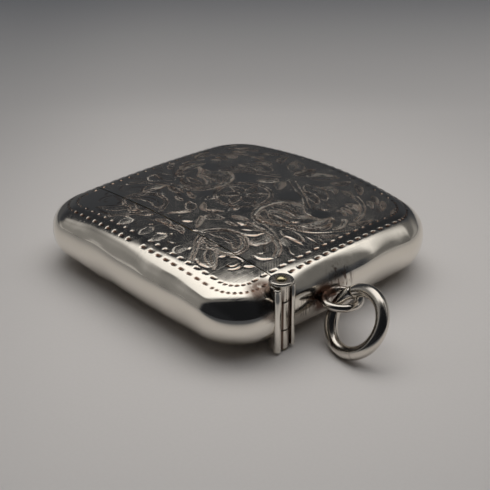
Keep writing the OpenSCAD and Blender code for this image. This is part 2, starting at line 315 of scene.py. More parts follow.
@dataclass(frozen=True)
class CaseForm:
    """Sizes and surfaces of the pillow-shaped case, about its middle plane."""

    width: float = 42.0
    length: float = 41.6
    thickness: float = 10.0
    wall: float = 0.5
    lid_corner: float = 6.6
    base_corner: float = 8.1
    base_bow: float = 3.4
    edge_roll: float = 4.3
    roll_power: float = 2.4
    dome_fall: float = 1.0
    rest_flat: float = 0.3
    lid_length: float = 9.1
    seam_gap: float = 0.15
    hinge_inset: float = 0.9
    hinge_drop: float = 0.5
    arc_steps: int = 60

    half_w: float = field(init=False)
    half_l: float = field(init=False)
    half_t: float = field(init=False)
    bow_r: float = field(init=False)
    bow_y: float = field(init=False)
    base_cx: float = field(init=False)
    base_cy: float = field(init=False)
    base_turn: float = field(init=False)
    lid_cx: float = field(init=False)
    lid_cy: float = field(init=False)
    seam_y: float = field(init=False)
    hinge_x: float = field(init=False)
    hinge_y: float = field(init=False)

    def __post_init__(self) -> None:
        """Works out the arcs of the outline: the base is one bow, and each corner is tangent to it."""
        half_w, half_l = self.width / 2, self.length / 2
        bow_r = (half_w ** 2 + self.base_bow ** 2) / (2 * self.base_bow)
        base_cx = half_w - self.base_corner
        rise = math.sqrt((bow_r - self.base_corner) ** 2 - base_cx ** 2)
        seam_y = self.lid_length - half_l
        derived = {
            "half_w": half_w, "half_l": half_l, "half_t": self.thickness / 2,
            "bow_r": bow_r, "bow_y": half_l - bow_r, "base_cx": base_cx,
            "base_cy": half_l - bow_r + rise, "base_turn": math.atan2(rise, base_cx),
            "lid_cx": half_w - self.lid_corner, "lid_cy": self.lid_corner - half_l,
            "seam_y": seam_y, "hinge_x": half_w - self.hinge_inset, "hinge_y": seam_y - self.hinge_drop,
        }
        for name, value in derived.items():
            object.__setattr__(self, name, value)

    def inset(self, x: Array, y: Array) -> Array:
        """Distance inside the outline: to the nearest side, or to the arc of the corner the point is in."""
        across = np.abs(x)
        plain = np.minimum(np.minimum(self.half_w - across, y + self.half_l),
                           self.bow_r - np.hypot(x, y - self.bow_y))
        out_x, out_y = across - self.lid_cx, self.lid_cy - y
        at_lid = (out_x > 0) & (out_y > 0)
        base_x, base_y = across - self.base_cx, y - self.base_cy
        at_base = (base_y > 0) & (base_x * (self.base_cy - self.bow_y) > base_y * self.base_cx)
        plain = np.where(at_base, self.base_corner - np.hypot(base_x, base_y), plain)
        return np.where(at_lid, self.lid_corner - np.hypot(out_x, out_y), plain)

    def height(self, x: Array, y: Array, depth: float, face: Face) -> Array:
        """Height of a face over the middle plane: a falling dome times a rolled edge.

        Args:
            x: Places across the case.
            y: Places along the case.
            depth: How far inside the outer surface.
            face: Front, or the back with its resting flat.

        Returns:
            The height at each place.
        """
        flat = self.rest_flat if face is Face.BACK else 0.0
        dome = self.half_t + flat - self.dome_fall * ((x / self.half_w) ** 2 + (y / self.half_l) ** 2)
        share = np.clip((self.inset(x, y) - depth) / (self.edge_roll - depth), 0, 1)
        roll = (1 - (1 - share) ** self.roll_power) ** (1 / self.roll_power)
        return (np.minimum(self.half_t, dome) - depth) * roll

    def normal(self, x: Array, y: Array, face: Face, step: float = 0.02) -> Array:
        """Unit normal of the outer surface, from the slope of height over a small step."""
        slope_x = (self.height(x + step, y, 0, face) - self.height(x - step, y, 0, face)) / (2 * step)
        slope_y = (self.height(x, y + step, 0, face) - self.height(x, y - step, 0, face)) / (2 * step)
        return unit(np.stack([-slope_x, -slope_y, np.ones_like(slope_x)], -1))

    def sag(self, x: Array, radius: float) -> Array:
        """Fall of the base's bow at a distance x from its crown."""
        return radius - np.sqrt(radius ** 2 - x ** 2)

    def surface(self, half: Half, rows: Array, shares: Array, depth: float, face: Face) -> Array:
        """One pressed surface as a grid.

        A row runs from side to side. In the lid it is straight. In the body it is straight up to the base
        corners, and then bends more and more until the last row is the base's outline.

        Args:
            half: Body or lid.
            rows: Row parameter, from 0 at the row nearest the lid end to 1.
            shares: Places across a row, from -1 to 1.
            depth: How far inside the outer surface.
            face: Front or back.

        Returns:
            Points by row and share, over the middle plane.
        """
        if half is Half.LID:
            corner = self.lid_corner - depth
            low, edge = self.lid_cy - corner, self.seam_y - self.seam_gap / 2
            middle = low + (edge - low) * rows
            drop = np.clip((self.lid_cy - middle) / corner, 0, 1)
            rounded_x = self.lid_cx + corner * np.sqrt(1 - drop ** 2)
            side_x, side_y = np.where(middle < self.lid_cy, rounded_x, self.half_w - depth), middle
        else:
            corner = self.base_corner - depth
            edge, top = self.seam_y + self.seam_gap / 2, self.half_l - depth
            middle = edge + (top - edge) * rows
            bend = np.arcsin(np.clip((middle - self.base_cy) / (top - self.base_cy), 0, 1)) * 2 / np.pi
            turn = self.base_turn * bend
            side_x = np.where(bend > 0, self.base_cx + corner * np.cos(turn), self.half_w - depth)
            side_y = np.where(bend > 0, self.base_cy + corner * np.sin(turn), middle)
        x = side_x[:, None] * shares
        radius = self.bow_r - depth
        sunk = (side_y - middle)[:, None] * self.sag(x, radius) / self.sag(side_x, radius)[:, None]
        y = middle[:, None] + sunk
        return np.stack([x, y, self.height(x, y, depth, face)], -1)

    def outline(self, inset: float, step: float = 0.05) -> Array:
        """Closed line at a distance inside the outline, anticlockwise from the middle of the lid end."""
        lid_r, base_r, bow_r = self.lid_corner - inset, self.base_corner - inset, self.bow_r - inset
        low = np.array([[0.0, inset - self.half_l]])
        turn = math.degrees(self.base_turn)
        lid = arc(self.lid_cx, self.lid_cy, lid_r, lid_r, -90, 0, self.arc_steps)
        base = arc(self.base_cx, self.base_cy, base_r, base_r, 0, turn, self.arc_steps)
        bow = arc(0, self.bow_y, bow_r, bow_r, turn, 90, self.arc_steps)
        right = np.vstack([low, lid, base, bow])
        return resampled(np.vstack([right, right[-2:0:-1] * [-1, 1], low]), step, closed=True)


@dataclass(frozen=True)
class Cut:
    """One engraved ornament: its way of working, line, half width, and shares of density and depth."""

    kind: CutKind
    line: Array
    half_width: float
    fill: float = 0.0
    strength: float = 1.0

    def mirrored(self, fill: float, strength: float) -> "Cut":
        """The same ornament on the other side of the middle line, with these shares of density and depth."""
        line = self.line * [-1, 1]
        return replace(self, line=line, fill=fill * self.fill, strength=strength * self.strength)


def cuts(kind: CutKind, rows: Sequence, strength: float = 1.0) -> list[Cut]:
    """Ornaments of one kind, from rows of half width, density where it is hatched, and line."""
    return [Cut(kind, np.array(line), width, *fill, strength=strength) for width, *fill, line in rows]


@dataclass(frozen=True)
class Engraving:
    """What the engraver leaves on a surface, at each of its points."""

    depth: Array
    stain: Array
    pit: Array
    leaf: Array
    hatch: Array


@dataclass
class Engraver:
    """Scrolls, leaves and pricked borders of the front, worked out at any set of points.

    A pair for wear says where it starts and how much further on it is full, and a pair for grime or a fade
    is a gain and what is taken off after it. Shading and polish are a middle, a slope and a least share. A
    plain spot is a place in the right half and its reach.
    """

    form: CaseForm
    border_insets: tuple[float, float] = (3.75, 2.45)
    prick_pitch: float = 1.5
    corner_pitch: float = 0.75
    corner_bend: float = 0.05
    prick_length: float = 1.05
    prick_width: float = 0.38
    prick_depth: float = 0.14
    prick_heel: float = 0.5
    prick_stain: float = 3.0
    full_grime: tuple[float, float] = (4.0, 0.1)
    deep_grime: tuple[float, float] = (2.5, 0.5)
    edge_width: float = 0.115
    edge_depth: float = 0.034
    edge_grime: float = 0.85
    end_slack: float = 0.08
    groove_slope: float = 0.36
    groove_width: float = 0.85
    groove_tip: float = 0.3
    groove_swell: float = 0.6
    groove_lean: float = 0.4
    groove_turn: float = 1.5
    groove_edge: float = 4.0
    groove_polish: tuple[float, float, float] = (1.7, 2.0, 0.1)
    leaf_swell: tuple[float, float] = (0.75, 0.8)
    leaf_vein: float = 0.8
    leaf_slant: float = 0.6
    band_taper: float = 0.35
    shading: tuple[float, float, float] = (0.7, 0.4, 0.25)
    ground_fill: float = 0.42
    ground_slant: float = 0.7
    plain_fade: tuple[float, float] = (3.0, 2.5)
    hatch_gain: float = 1.3
    lid_wear: float = 0.35
    lid_worn: tuple[float, float] = (6.0, 10.0)
    corner_wear: float = 0.3
    corner_worn: tuple[float, float] = (12.0, 12.0)
    mirror_fill: float = 1.15
    mirror_strength: float = 0.7
    stroke_strength: float = 0.85
    curl_at: tuple[float, float] = (12.7, -13.5)
    plain_spots: Spots = ((4.8, 4.7, 1.8), (3.2, -2.8, 1.4), (13.8, -14.4, 3.6), (11.4, 3.9, 1.2))
    roundel_at: tuple[float, float] = (0.0, 0.2)
    roundel_r: float = 3.9
    roundel_half: float = 0.26
    roundel_fill: float = 0.5
    petals: int = 6
    petal_span: tuple[float, float] = (0.6, 3.3)
    petal_start: float = 30.0
    petal_sweep: float = 20.0
    petal_half: float = 0.75

    def bands(self) -> list[Cut]:
        """Stems and scrolls of the right half, each a hatched band between two lines."""
        rows = (
            (0.46, 0.6, ((7.4, -4.3), (10.0, -4.6), (12.0, -5.4), (14.0, -6.6), (15.3, -8.4))),
            (0.48, 0.95, ((8.0, 4.0), (6.2, 3.6), (5.0, 2.2), (4.6, 0.2), (4.9, -1.8), (6.1, -3.4),
                          (8.0, -4.0))),
            (0.36, 1.0, ((6.3, -0.7), (7.2, 0.0), (8.4, 0.4), (9.6, 0.45), (10.4, 1.3), (11.3, 2.2),
                         (12.3, 2.6))),
            (0.42, 0.4, ((1.2, 8.8), (3.4, 7.4), (5.6, 6.3), (7.6, 4.9), (9.0, 3.9))),
            (0.36, 0.6, ((10.4, 11.9), (12.3, 11.0), (13.8, 9.7), (14.9, 8.0), (15.5, 6.2))),
            (0.3, 0.9, ((14.4, 5.3), (15.1, 4.3), (15.5, 3.2), (15.3, 2.2))),
            (0.28, 0.4, ((4.4, -11.0), (5.2, -9.5), (6.5, -8.4), (8.1, -8.05), (9.8, -8.4), (11.2, -9.6),
                         (11.6, -11.2), (11.0, -12.3), (9.7, -12.9), (8.4, -12.7))),
            (0.3, 0.4, ((5.0, -11.6), (5.6, -12.9), (7.2, -14.6), (8.6, -16.4))),
        )
        return cuts(CutKind.BAND, rows)

    def leaves(self) -> list[Cut]:
        """Leaves and lobes of the right half, each swelling and tapering along its vein."""
        rows = (
            (1.0, 0.7, ((5.4, 2.2), (7.4, 2.8), (9.4, 2.0), (11.2, 2.4))),
            (0.75, 0.6, ((5.2, 0.6), (7.2, 1.5), (9.6, 1.1))),
            (0.65, 0.55, ((5.5, -1.0), (6.8, -2.2), (8.8, -2.6), (10.8, -2.1))),
            (0.5, 0.5, ((6.8, -1.4), (8.6, -1.6), (10.6, -1.2))),
            (0.95, 0.8, ((12.0, -1.5), (12.9, 0.2), (13.2, 2.0), (12.8, 4.3))),
            (0.5, 0.7, ((11.0, -1.6), (12.4, -1.1), (13.7, 0.3))),
            (0.5, 0.8, ((13.4, 0.4), (14.3, 1.4), (14.0, 3.2))),
            (0.5, 0.7, ((5.7, -3.1), (7.6, -3.2), (10.2, -2.8))),
            (1.3, 0.6, ((3.4, 9.1), (6.2, 8.7), (9.0, 7.5))),
            (0.75, 0.5, ((4.8, 7.4), (7.0, 6.9), (9.0, 5.9))),
            (0.6, 0.7, ((5.4, 10.4), (6.9, 11.1), (8.2, 10.3))),
            (0.5, 0.9, ((8.0, 11.9), (9.3, 11.8), (10.6, 11.2))),
            (0.75, 1.0, ((11.3, 9.0), (12.7, 9.3), (13.9, 8.9))),
            (0.38, 1.0, ((11.6, 7.6), (12.8, 7.7), (13.8, 7.4))),
            (0.36, 1.0, ((11.9, 6.5), (12.8, 6.55), (13.7, 6.3))),
            (1.05, 1.0, ((10.6, -5.1), (11.3, -6.7), (10.9, -8.9))),
            (0.45, 0.7, ((6.5, -5.1), (8.2, -5.5), (10.1, -5.1))),
            (0.95, 0.25, ((5.4, -10.6), (7.2, -9.3), (9.2, -9.6), (10.8, -11.2))),
            (0.5, 0.6, ((5.8, -12.0), (7.2, -12.2), (8.8, -11.8))),
            (0.6, 0.7, ((6.0, -12.9), (7.2, -13.4), (8.3, -13.4))),
            (0.75, 0.45, ((8.3, -13.1), (10.2, -14.6), (12.3, -15.9))),
            (0.5, 0.7, ((0.0, -13.0), (1.4, -12.5), (2.9, -13.0))),
            (0.42, 1.0, ((0.0, -7.0), (0.9, -6.3), (2.0, -5.3))),
            (0.75, 0.6, ((1.4, -8.1), (2.5, -7.2), (3.7, -6.6))),
            (0.42, 1.0, ((1.0, -8.3), (2.0, -9.4), (3.0, -10.8))),
            (0.36, 0.9, ((3.9, -5.4), (5.0, -5.0), (6.3, -4.6))),
            (0.3, 0.8, ((4.5, -7.0), (5.5, -6.9), (6.5, -6.7))),
            (0.9, 0.3, ((11.0, -3.1), (12.8, -3.2), (15.0, -3.1))),
            (0.4, 0.9, ((12.4, 12.4), (13.4, 11.6), (14.4, 11.0))),
            (0.36, 0.9, ((13.6, 14.0), (14.7, 12.8), (15.6, 11.5))),
            (0.34, 0.8, ((16.2, 14.4), (16.6, 13.2), (16.9, 11.8))),
            (0.4, 0.6, ((11.6, 14.2), (12.8, 13.4), (14.0, 12.4))),
            (0.5, 0.6, ((7.4, 15.4), (9.0, 14.4), (10.4, 13.0))),
            (1.3, 0.8, ((1.4, 11.5), (2.4, 13.2), (4.4, 15.2))),
            (0.6, 0.6, ((5.2, 12.6), (6.2, 13.8), (6.4, 15.4))),
            (0.6, 0.6, ((0.2, 10.6), (0.3, 12.2), (0.2, 14.6))),
            (0.8, 0.8, ((0.3, 7.5), (1.0, 6.4), (2.2, 5.0))),
            (0.4, 0.6, ((15.6, 4.8), (16.4, 6.2), (16.6, 8.2))),
            (0.35, 0.6, ((14.9, -0.8), (15.9, 0.0), (16.7, 1.4))),
        )
        return cuts(CutKind.LEAF, rows)

    def patches(self) -> list[Cut]:
        """Light patches of the right half: leaf tips that are only hatched."""
        rows = (
            (0.8, 0.8, ((5.6, -14.9), (5.6, -16.0), (5.7, -17.0))),
            (0.75, 0.8, ((1.3, -14.7), (1.3, -15.9), (1.3, -17.0))),
            (1.3, 0.7, ((14.4, -5.4), (13.8, -4.2), (13.2, -2.6))),
            (1.5, 0.3, ((7.4, -8.9), (9.0, -8.9), (10.4, -8.4))),
            (0.6, 0.7, ((2.0, -2.6), (2.4, -3.6), (2.4, -4.6))),
        )
        return cuts(CutKind.PATCH, rows)

    def strokes(self) -> list[Cut]:
        """Bright cuts of the left half, which are not mirrored."""
        rows = (
            (0.3, ((-1.0, -6.9), (0.4, -6.5), (1.7, -5.5))),
            (0.32, ((-2.9, -10.6), (-2.0, -9.6), (-1.0, -8.4))),
            (0.22, ((-4.4, -14.3), (-2.6, -13.4), (-0.4, -12.8), (2.5, -12.6))),
            (0.24, ((-5.6, -13.9), (-4.7, -13.1), (-4.0, -12.0))),
            (0.26, ((-8.2, -14.0), (-7.4, -13.5), (-6.6, -12.7))),
            (0.3, ((-5.2, -0.2), (-3.9, -0.9), (-2.4, -1.5))),
            (0.28, ((-6.6, -8.1), (-6.1, -8.4), (-5.5, -8.8))),
            (0.22, ((-10.3, -12.3), (-9.4, -12.0), (-8.6, -13.0))),
            (0.22, ((-9.6, -4.4), (-8.8, -5.0), (-8.0, -5.8))),
            (0.2, ((-12.0, -9.0), (-11.0, -8.0), (-10.6, -6.6))),
            (0.2, ((-7.8, -0.2), (-7.0, -0.9), (-6.4, -2.2))),
            (0.2, ((-13.4, -11.6), (-12.4, -12.4), (-11.2, -12.6))),
        )
        return cuts(CutKind.GROOVE, rows, self.stroke_strength)

    def accents(self) -> list[Cut]:
        """Bright cuts of the right half: deep single strokes, and two arcs that curl at the lid's corner."""
        rows = (
            (0.34, ((12.2, -4.35), (13.1, -4.0), (15.7, -4.0))),
            (0.2, ((14.0, -2.3), (15.4, -2.15), (16.7, -2.35))),
            (0.18, ((15.6, -1.35), (16.2, -1.35), (16.8, -1.5))),
            (0.28, ((13.3, -10.4), (14.5, -10.2), (15.4, -9.0))),
            (0.28, ((14.2, -12.8), (14.7, -12.5), (15.1, -11.9))),
            (0.34, ((5.7, -6.2), (6.5, -6.1), (7.4, -5.9))),
            (0.22, ((17.0, 3.9), (16.3, 2.6), (15.3, 0.7), (14.0, -0.9), (12.4, -1.9), (10.4, -2.5),
                    (8.4, -2.9))),
            (0.2, ((14.6, -5.6), (15.7, -6.4), (17.0, -6.7))),
            (0.2, ((11.6, -6.3), (12.4, -7.6), (13.7, -8.8), (13.3, -9.8))),
            (0.28, ((10.1, -5.6), (9.9, -6.8), (8.7, -7.9))),
            (0.3, ((10.7, -8.6), (11.4, -8.6), (12.2, -8.1))),
            (0.36, ((0.2, -11.0), (0.8, -10.6), (1.4, -10.1))),
            (0.26, ((1.7, -13.9), (2.0, -14.2), (2.6, -14.7))),
            (0.28, ((6.3, -14.6), (6.5, -15.0), (6.8, -15.4))),
            (0.26, ((0.1, -15.4), (0.8, -15.0), (1.6, -14.5))),
            (0.22, ((2.9, -15.7), (3.6, -15.6), (4.4, -15.3))),
            (0.3, ((8.8, -15.9), (10.0, -16.35), (11.8, -16.1))),
            (0.26, ((10.6, -13.6), (10.8, -13.2), (11.0, -12.9))),
            (0.26, ((10.3, -0.8), (10.8, -0.6), (11.0, 0.0))),
            (0.22, ((10.9, 1.0), (11.2, 0.7), (11.4, 0.2))),
            (0.16, ((11.9, 1.2), (12.6, 0.5), (13.2, -0.4))),
            (0.16, ((12.6, 2.4), (13.3, 1.5), (13.9, 0.5))),
            (0.24, ((13.9, 3.0), (14.2, 2.4), (14.5, 1.8))),
            (0.3, ((13.0, 4.3), (13.5, 4.05), (14.0, 3.8))),
            (0.24, ((9.3, 7.0), (10.2, 6.7), (10.8, 6.1))),
            (0.24, ((10.2, 4.9), (10.8, 5.1), (11.1, 5.8))),
            (0.28, ((14.7, 11.6), (15.2, 11.2), (15.8, 10.6))),
            (0.17, ((6.6, 9.4), (7.6, 7.4), (8.6, 5.8), (9.8, 4.0))),
            (0.2, ((6.8, -0.9), (8.0, -1.1), (9.2, -1.0), (10.2, -0.8))),
            (0.2, ((8.6, 0.0), (9.4, -0.1), (10.0, -0.4))),
            (0.26, ((0.8, -3.0), (1.4, -3.4), (2.0, -3.9))),
            (0.26, ((2.4, -3.7), (2.8, -3.9), (3.2, -4.0))),
            (0.2, ((7.0, -3.5), (8.2, -3.4), (9.4, -3.1))),
            (0.2, ((3.2, -11.6), (3.7, -11.4), (4.3, -11.2))),
            (0.2, ((7.4, -7.2), (8.2, -6.6), (9.0, -6.0))),
            (0.15, ((4.5, -10.6), (5.4, -9.2), (6.6, -8.3), (8.1, -7.9), (9.7, -8.3), (11.0, -9.4),
                    (11.5, -10.8))),
        )
        x, y = self.curl_at
        outer_curl = Cut(CutKind.GROOVE, arc(x, y, 1.45, 1.35, 150, -60), 0.24, strength=0.7)
        inner_curl = Cut(CutKind.GROOVE, arc(x, y, 0.75, 0.6, 50, -130), 0.17, strength=0.5)
        return cuts(CutKind.GROOVE, rows) + [outer_curl, inner_curl]

    def roundel(self) -> list[Cut]:
        """Middle of the front: a banded ring round six plain leaves."""
        at, radius, fill = self.roundel_at, self.roundel_r, self.roundel_fill
        ring = Cut(CutKind.BAND, arc(*at, radius, radius, 0, 360, count=60), self.roundel_half, fill)
        starts = self.petal_start + 360 / self.petals * np.arange(self.petals)
        lines = [arc(*at, *self.petal_span, start, start + self.petal_sweep, count=6) for start in starts]
        return [ring] + [Cut(CutKind.LEAF, line, self.petal_half, fill) for line in lines]

    def scrolls(self) -> list[Cut]:
        """Whole ornament: the right half, its mirror image, the left half's own cuts and the roundel."""
        half = self.patches() + self.leaves() + self.bands() + self.accents()
        mirrored = [cut.mirrored(self.mirror_fill, self.mirror_strength) for cut in half]
        return half + mirrored + self.strokes() + self.roundel()

    def worked(self, x: Array, y: Array, pricked_only: bool) -> Engraving:
        """Depth and finish of the engraving at a set of points.

        Where ornaments meet, the deeper one counts. The ground between them is hatched faintly, apart from a
        few plain spots. All hatching is worn thin towards the lid end, and most at the hinge's corner.

        Args:
            x: Places across the case.
            y: Places along the case.
            pricked_only: Whether to leave out everything but the borders.

        Returns:
            The engraving at each point.
        """
        done = Engraving(*(np.zeros_like(x) for _ in fields(Engraving)))
        for inset in self.border_insets:
            self.prick(x, y, inset, done)
        if pricked_only:
            return done
        inside = self.form.inset(x, y) > self.border_insets[0] + self.prick_width / 2
        plain = [np.hypot(np.abs(x) - at_x, y - at_y) / reach for at_x, at_y, reach in self.plain_spots]
        gain, start = self.plain_fade
        ground = self.ground_fill * np.clip(gain * np.min(plain, 0) - start, 0, 1)
        done.leaf[:] = np.where(inside, ground, 0)
        done.hatch[:] = self.ground_slant * (x + y)
        for cut in self.scrolls():
            self.carve(x, y, inside, cut, done)
        lid_end = np.clip((self.lid_worn[0] - y) / self.lid_worn[1], 0, 1)
        corner = np.clip((x - y - self.corner_worn[0]) / self.corner_worn[1], 0, 1)
        done.leaf[:] *= self.hatch_gain * (1 - self.lid_wear * lid_end) * (1 - self.corner_wear * corner)
        return done

    def carve(self, x: Array, y: Array, inside: Array, cut: Cut, done: Engraving) -> None:
        """Adds one ornament to an engraving, at the points that lie near its line.

        A groove is a V that swells along its line, with its deepest part off the middle, by a lean, towards
        the hinge's corner. A leaf swells and tapers along its line, with an edge line, a vein and slanting
        hatching that thins out to its right. A band tapers slowly from end to end, with edge lines and
        hatching straight across it, and a patch is a leaf without lines.

        Args:
            x: Places across the case.
            y: Places along the case.
            inside: Whether each place lies inside the borders.
            cut: The ornament.
            done: The engraving so far, which is added to.
        """
        line = spline(cut.line)
        reach = cut.half_width + self.edge_width
        low, high = line.min(0) - reach, line.max(0) + reach
        near = np.flatnonzero(inside & (x > low[0]) & (x < high[0]) & (y > low[1]) & (y < high[1]))
        nearest, gap = nearest_on(line, x[near], y[near])
        along = unit(np.gradient(line, axis=0))[nearest]
        off = leftward(along, gap)
        past = np.abs((along * gap).sum(-1)) > self.end_slack
        share = nearest / (len(line) - 1)
        if cut.kind is CutKind.GROOVE:
            swell = self.groove_tip + (1 - self.groove_tip) * np.sin(np.pi * share) ** self.groove_swell
            width = self.groove_width * cut.half_width * swell
            towards = np.clip(self.groove_turn * (-along[:, 1] - along[:, 0]), -1, 1)
            deepest = self.groove_lean * width * towards
            left, right = (off + width) / (deepest + width), (width - off) / (width - deepest)
            work = np.where(past, 0, np.clip(np.where(off < deepest, left, right), 0, 1))
            depth = cut.strength * self.groove_slope * width * work
            full, loss, least = self.groove_polish
            stain = np.clip(self.groove_edge * work, 0, 1) * np.clip(full - loss * work, least, 1)
        else:
            leaf = cut.kind is not CutKind.BAND
            early, round_off = self.leaf_swell
            swell = np.sin(np.pi * share ** early) ** round_off if leaf else 1 - self.band_taper * share
            width = cut.half_width * swell
            edge = np.clip(1 - np.abs(np.abs(off) - width) / self.edge_width, 0, 1)
            vein = np.clip(1 - np.abs(off) / self.edge_width, 0, 1) * (self.leaf_vein if leaf else 0)
            stain = np.where(past | (cut.kind is CutKind.PATCH), 0, np.maximum(edge, vein))
            depth = cut.strength * self.edge_depth * stain
            done.pit[near] = np.maximum(done.pit[near], self.edge_grime * stain)
            filled = (np.abs(off) < width) & ~past
            middle, slope, least = self.shading
            shade = np.clip(middle + slope * off / cut.half_width, least, 1)
            done.leaf[near] = np.where(filled, cut.fill * shade, done.leaf[near])
            run = share * np.linalg.norm(np.diff(line, axis=0), axis=1).sum()
            hatch = self.leaf_slant * run + np.abs(off) if leaf else run
            done.hatch[near] = np.where(filled, hatch, done.hatch[near])
        done.depth[near] = np.maximum(done.depth[near], depth)
        done.stain[near] = np.maximum(done.stain[near], stain)

    def prick(self, x: Array, y: Array, inset: float, done: Engraving) -> None:
        """Adds one border row: wedge pits at even steps along the outline, closer round the corners.

        The pits of the outer row and of the corners are full of grime, the others only at their deepest.

        Args:
            x: Places across the case.
            y: Places along the case.
            inset: How far the row lies inside the outline.
            done: The engraving so far, which is added to.
        """
        near = np.flatnonzero(np.abs(self.form.inset(x, y) - inset) < self.prick_width)
        line = self.form.outline(inset)
        along = unit(np.roll(line, -1, 0) - np.roll(line, 1, 0))
        step = np.linalg.norm(np.roll(line, -1, 0) - line, axis=1)
        bent = np.linalg.norm(np.roll(along, -1, 0) - along, axis=1) / step > self.corner_bend
        count = np.cumsum(step / np.where(bent, self.corner_pitch, self.prick_pitch))
        pits = np.searchsorted(count, np.arange(1, math.floor(count[-1])))
        length = np.where(bent[pits], self.corner_pitch / self.prick_pitch, 1) * self.prick_length / 2
        nearest, gap = nearest_on(line[pits], x[near], y[near])
        heading = along[pits][nearest]
        run = (gap * heading).sum(-1) / length[nearest]
        off = np.abs(leftward(heading, gap)) / (self.prick_width / 2)
        heel, toe = (1 + run) / self.prick_heel, (1 - run) / (2 - self.prick_heel)
        work = np.clip(toe, 0, 1) * np.clip(heel, 0, 1) * np.clip(1 - off, 0, 1)
        done.depth[near] = np.maximum(done.depth[near], self.prick_depth * work)
        done.stain[near] = np.maximum(done.stain[near], np.clip(self.prick_stain * work, 0, 1))
        filled = bent[pits][nearest] | (inset == self.border_insets[1])
        full, deep = (gain * work - least for gain, least in (self.full_grime, self.deep_grime))
        done.pit[near] = np.maximum(done.pit[near], np.clip(np.where(filled, full, deep), 0, 1))


@dataclass(frozen=True)
class Ramp:
    """A change from start to end while a number goes from low to high, held beyond them."""

    low: float
    high: float
    start: float = 0.0
    end: float = 1.0
    smooth: bool = True


@dataclass(frozen=True)
class Noise:
    """A noise by its scale to the metre, its detail, its stretch and its turn about the upright axis."""

    scale: float
    detail: float = 2.0
    stretch: tuple[float, float, float] = (1, 1, 1)
    turn: float = 0.0


class NodeBench:
    """Lays out the nodes of one material or world, with short calls for the common ones."""

    def __init__(self, tree: bpy.types.NodeTree) -> None:
        """Starts on an empty tree."""
        self.tree = tree
        tree.nodes.clear()

    def add(self, kind: str, settings: dict | None = None, **inputs: object) -> bpy.types.Node:
        """Adds a node.

        Args:
            kind: Blender's name of the node type.
            settings: Properties to set on the node.
            inputs: Values or sockets for its inputs, by name with underscores for blanks, or by number
                after an underscore.

        Returns:
            The node.
        """
        node = self.tree.nodes.new(kind)
        for name, value in (settings or {}).items():
            setattr(node, name, value)
        for name, value in inputs.items():
            self.feed(node.inputs[int(name[1:]) if name[0] == "_" else name.replace("_", " ")], value)
        return node

    def feed(self, socket: Socket, value: object) -> None:
        """Links a socket to another one, or sets it to a number, a vector or an opaque colour."""
        if isinstance(value, Socket):
            self.tree.links.new(value, socket)
        else:
            socket.default_value = (*value, 1) if socket.type == "RGBA" else value

    def math(self, operation: str, *values: object, kind: str = "ShaderNodeMath") -> Socket:
        """Number that a Math node gives for values or sockets."""
        inputs = {f"_{k}": value for k, value in enumerate(values)}
        return self.add(kind, {"operation": operation}, **inputs).outputs["Value"]

    def vector(self, operation: str, *values: object) -> Socket:
        """Number that a Vector Math node gives for vectors."""
        return self.math(operation, *values, kind="ShaderNodeVectorMath")

    def total(self, *values: object) -> Socket:
        """Sum of values or sockets."""
        return reduce(partial(self.math, "ADD"), values)

    def times(self, *values: object) -> Socket:
        """Product of values or sockets."""
        return reduce(partial(self.math, "MULTIPLY"), values)

    def most(self, *values: object) -> Socket:
        """Largest of values or sockets."""
        return reduce(partial(self.math, "MAXIMUM"), values)

    def ramp(self, value: object, shape: Ramp) -> Socket:
        """What a ramp makes of a value."""
        settings = {"interpolation_type": "SMOOTHSTEP" if shape.smooth else "LINEAR"}
        node = self.add("ShaderNodeMapRange", settings, Value=value, From_Min=shape.low, From_Max=shape.high,
                        To_Min=shape.start, To_Max=shape.end)
        return node.outputs["Result"]

    def blend(self, share: object, first: object, second: object) -> Socket:
        """Colour between two colours."""
        return self.add("ShaderNodeMix", {"data_type": "RGBA"}, _0=share, _6=first, _7=second).outputs[2]

    def noise(self, place: Socket, shape: Noise) -> Socket:
        """Noise at a place."""
        where = self.add("ShaderNodeMapping", Vector=place, Scale=shape.stretch, Rotation=(0, 0, shape.turn))
        node = self.add("ShaderNodeTexNoise", Vector=where.outputs[0], Scale=shape.scale,
                        Detail=shape.detail)
        return node.outputs["Fac"]

    def mark(self, place: Socket, shape: Noise, steps: Ramp) -> Socket:
        """Marks that a ramp cuts out of a noise."""
        return self.ramp(self.noise(place, shape), steps)

    def attribute(self, name: str) -> Socket:
        """A number that the piece carries at each of its points."""
        return self.add("ShaderNodeAttribute", {"attribute_name": name}).outputs["Fac"]


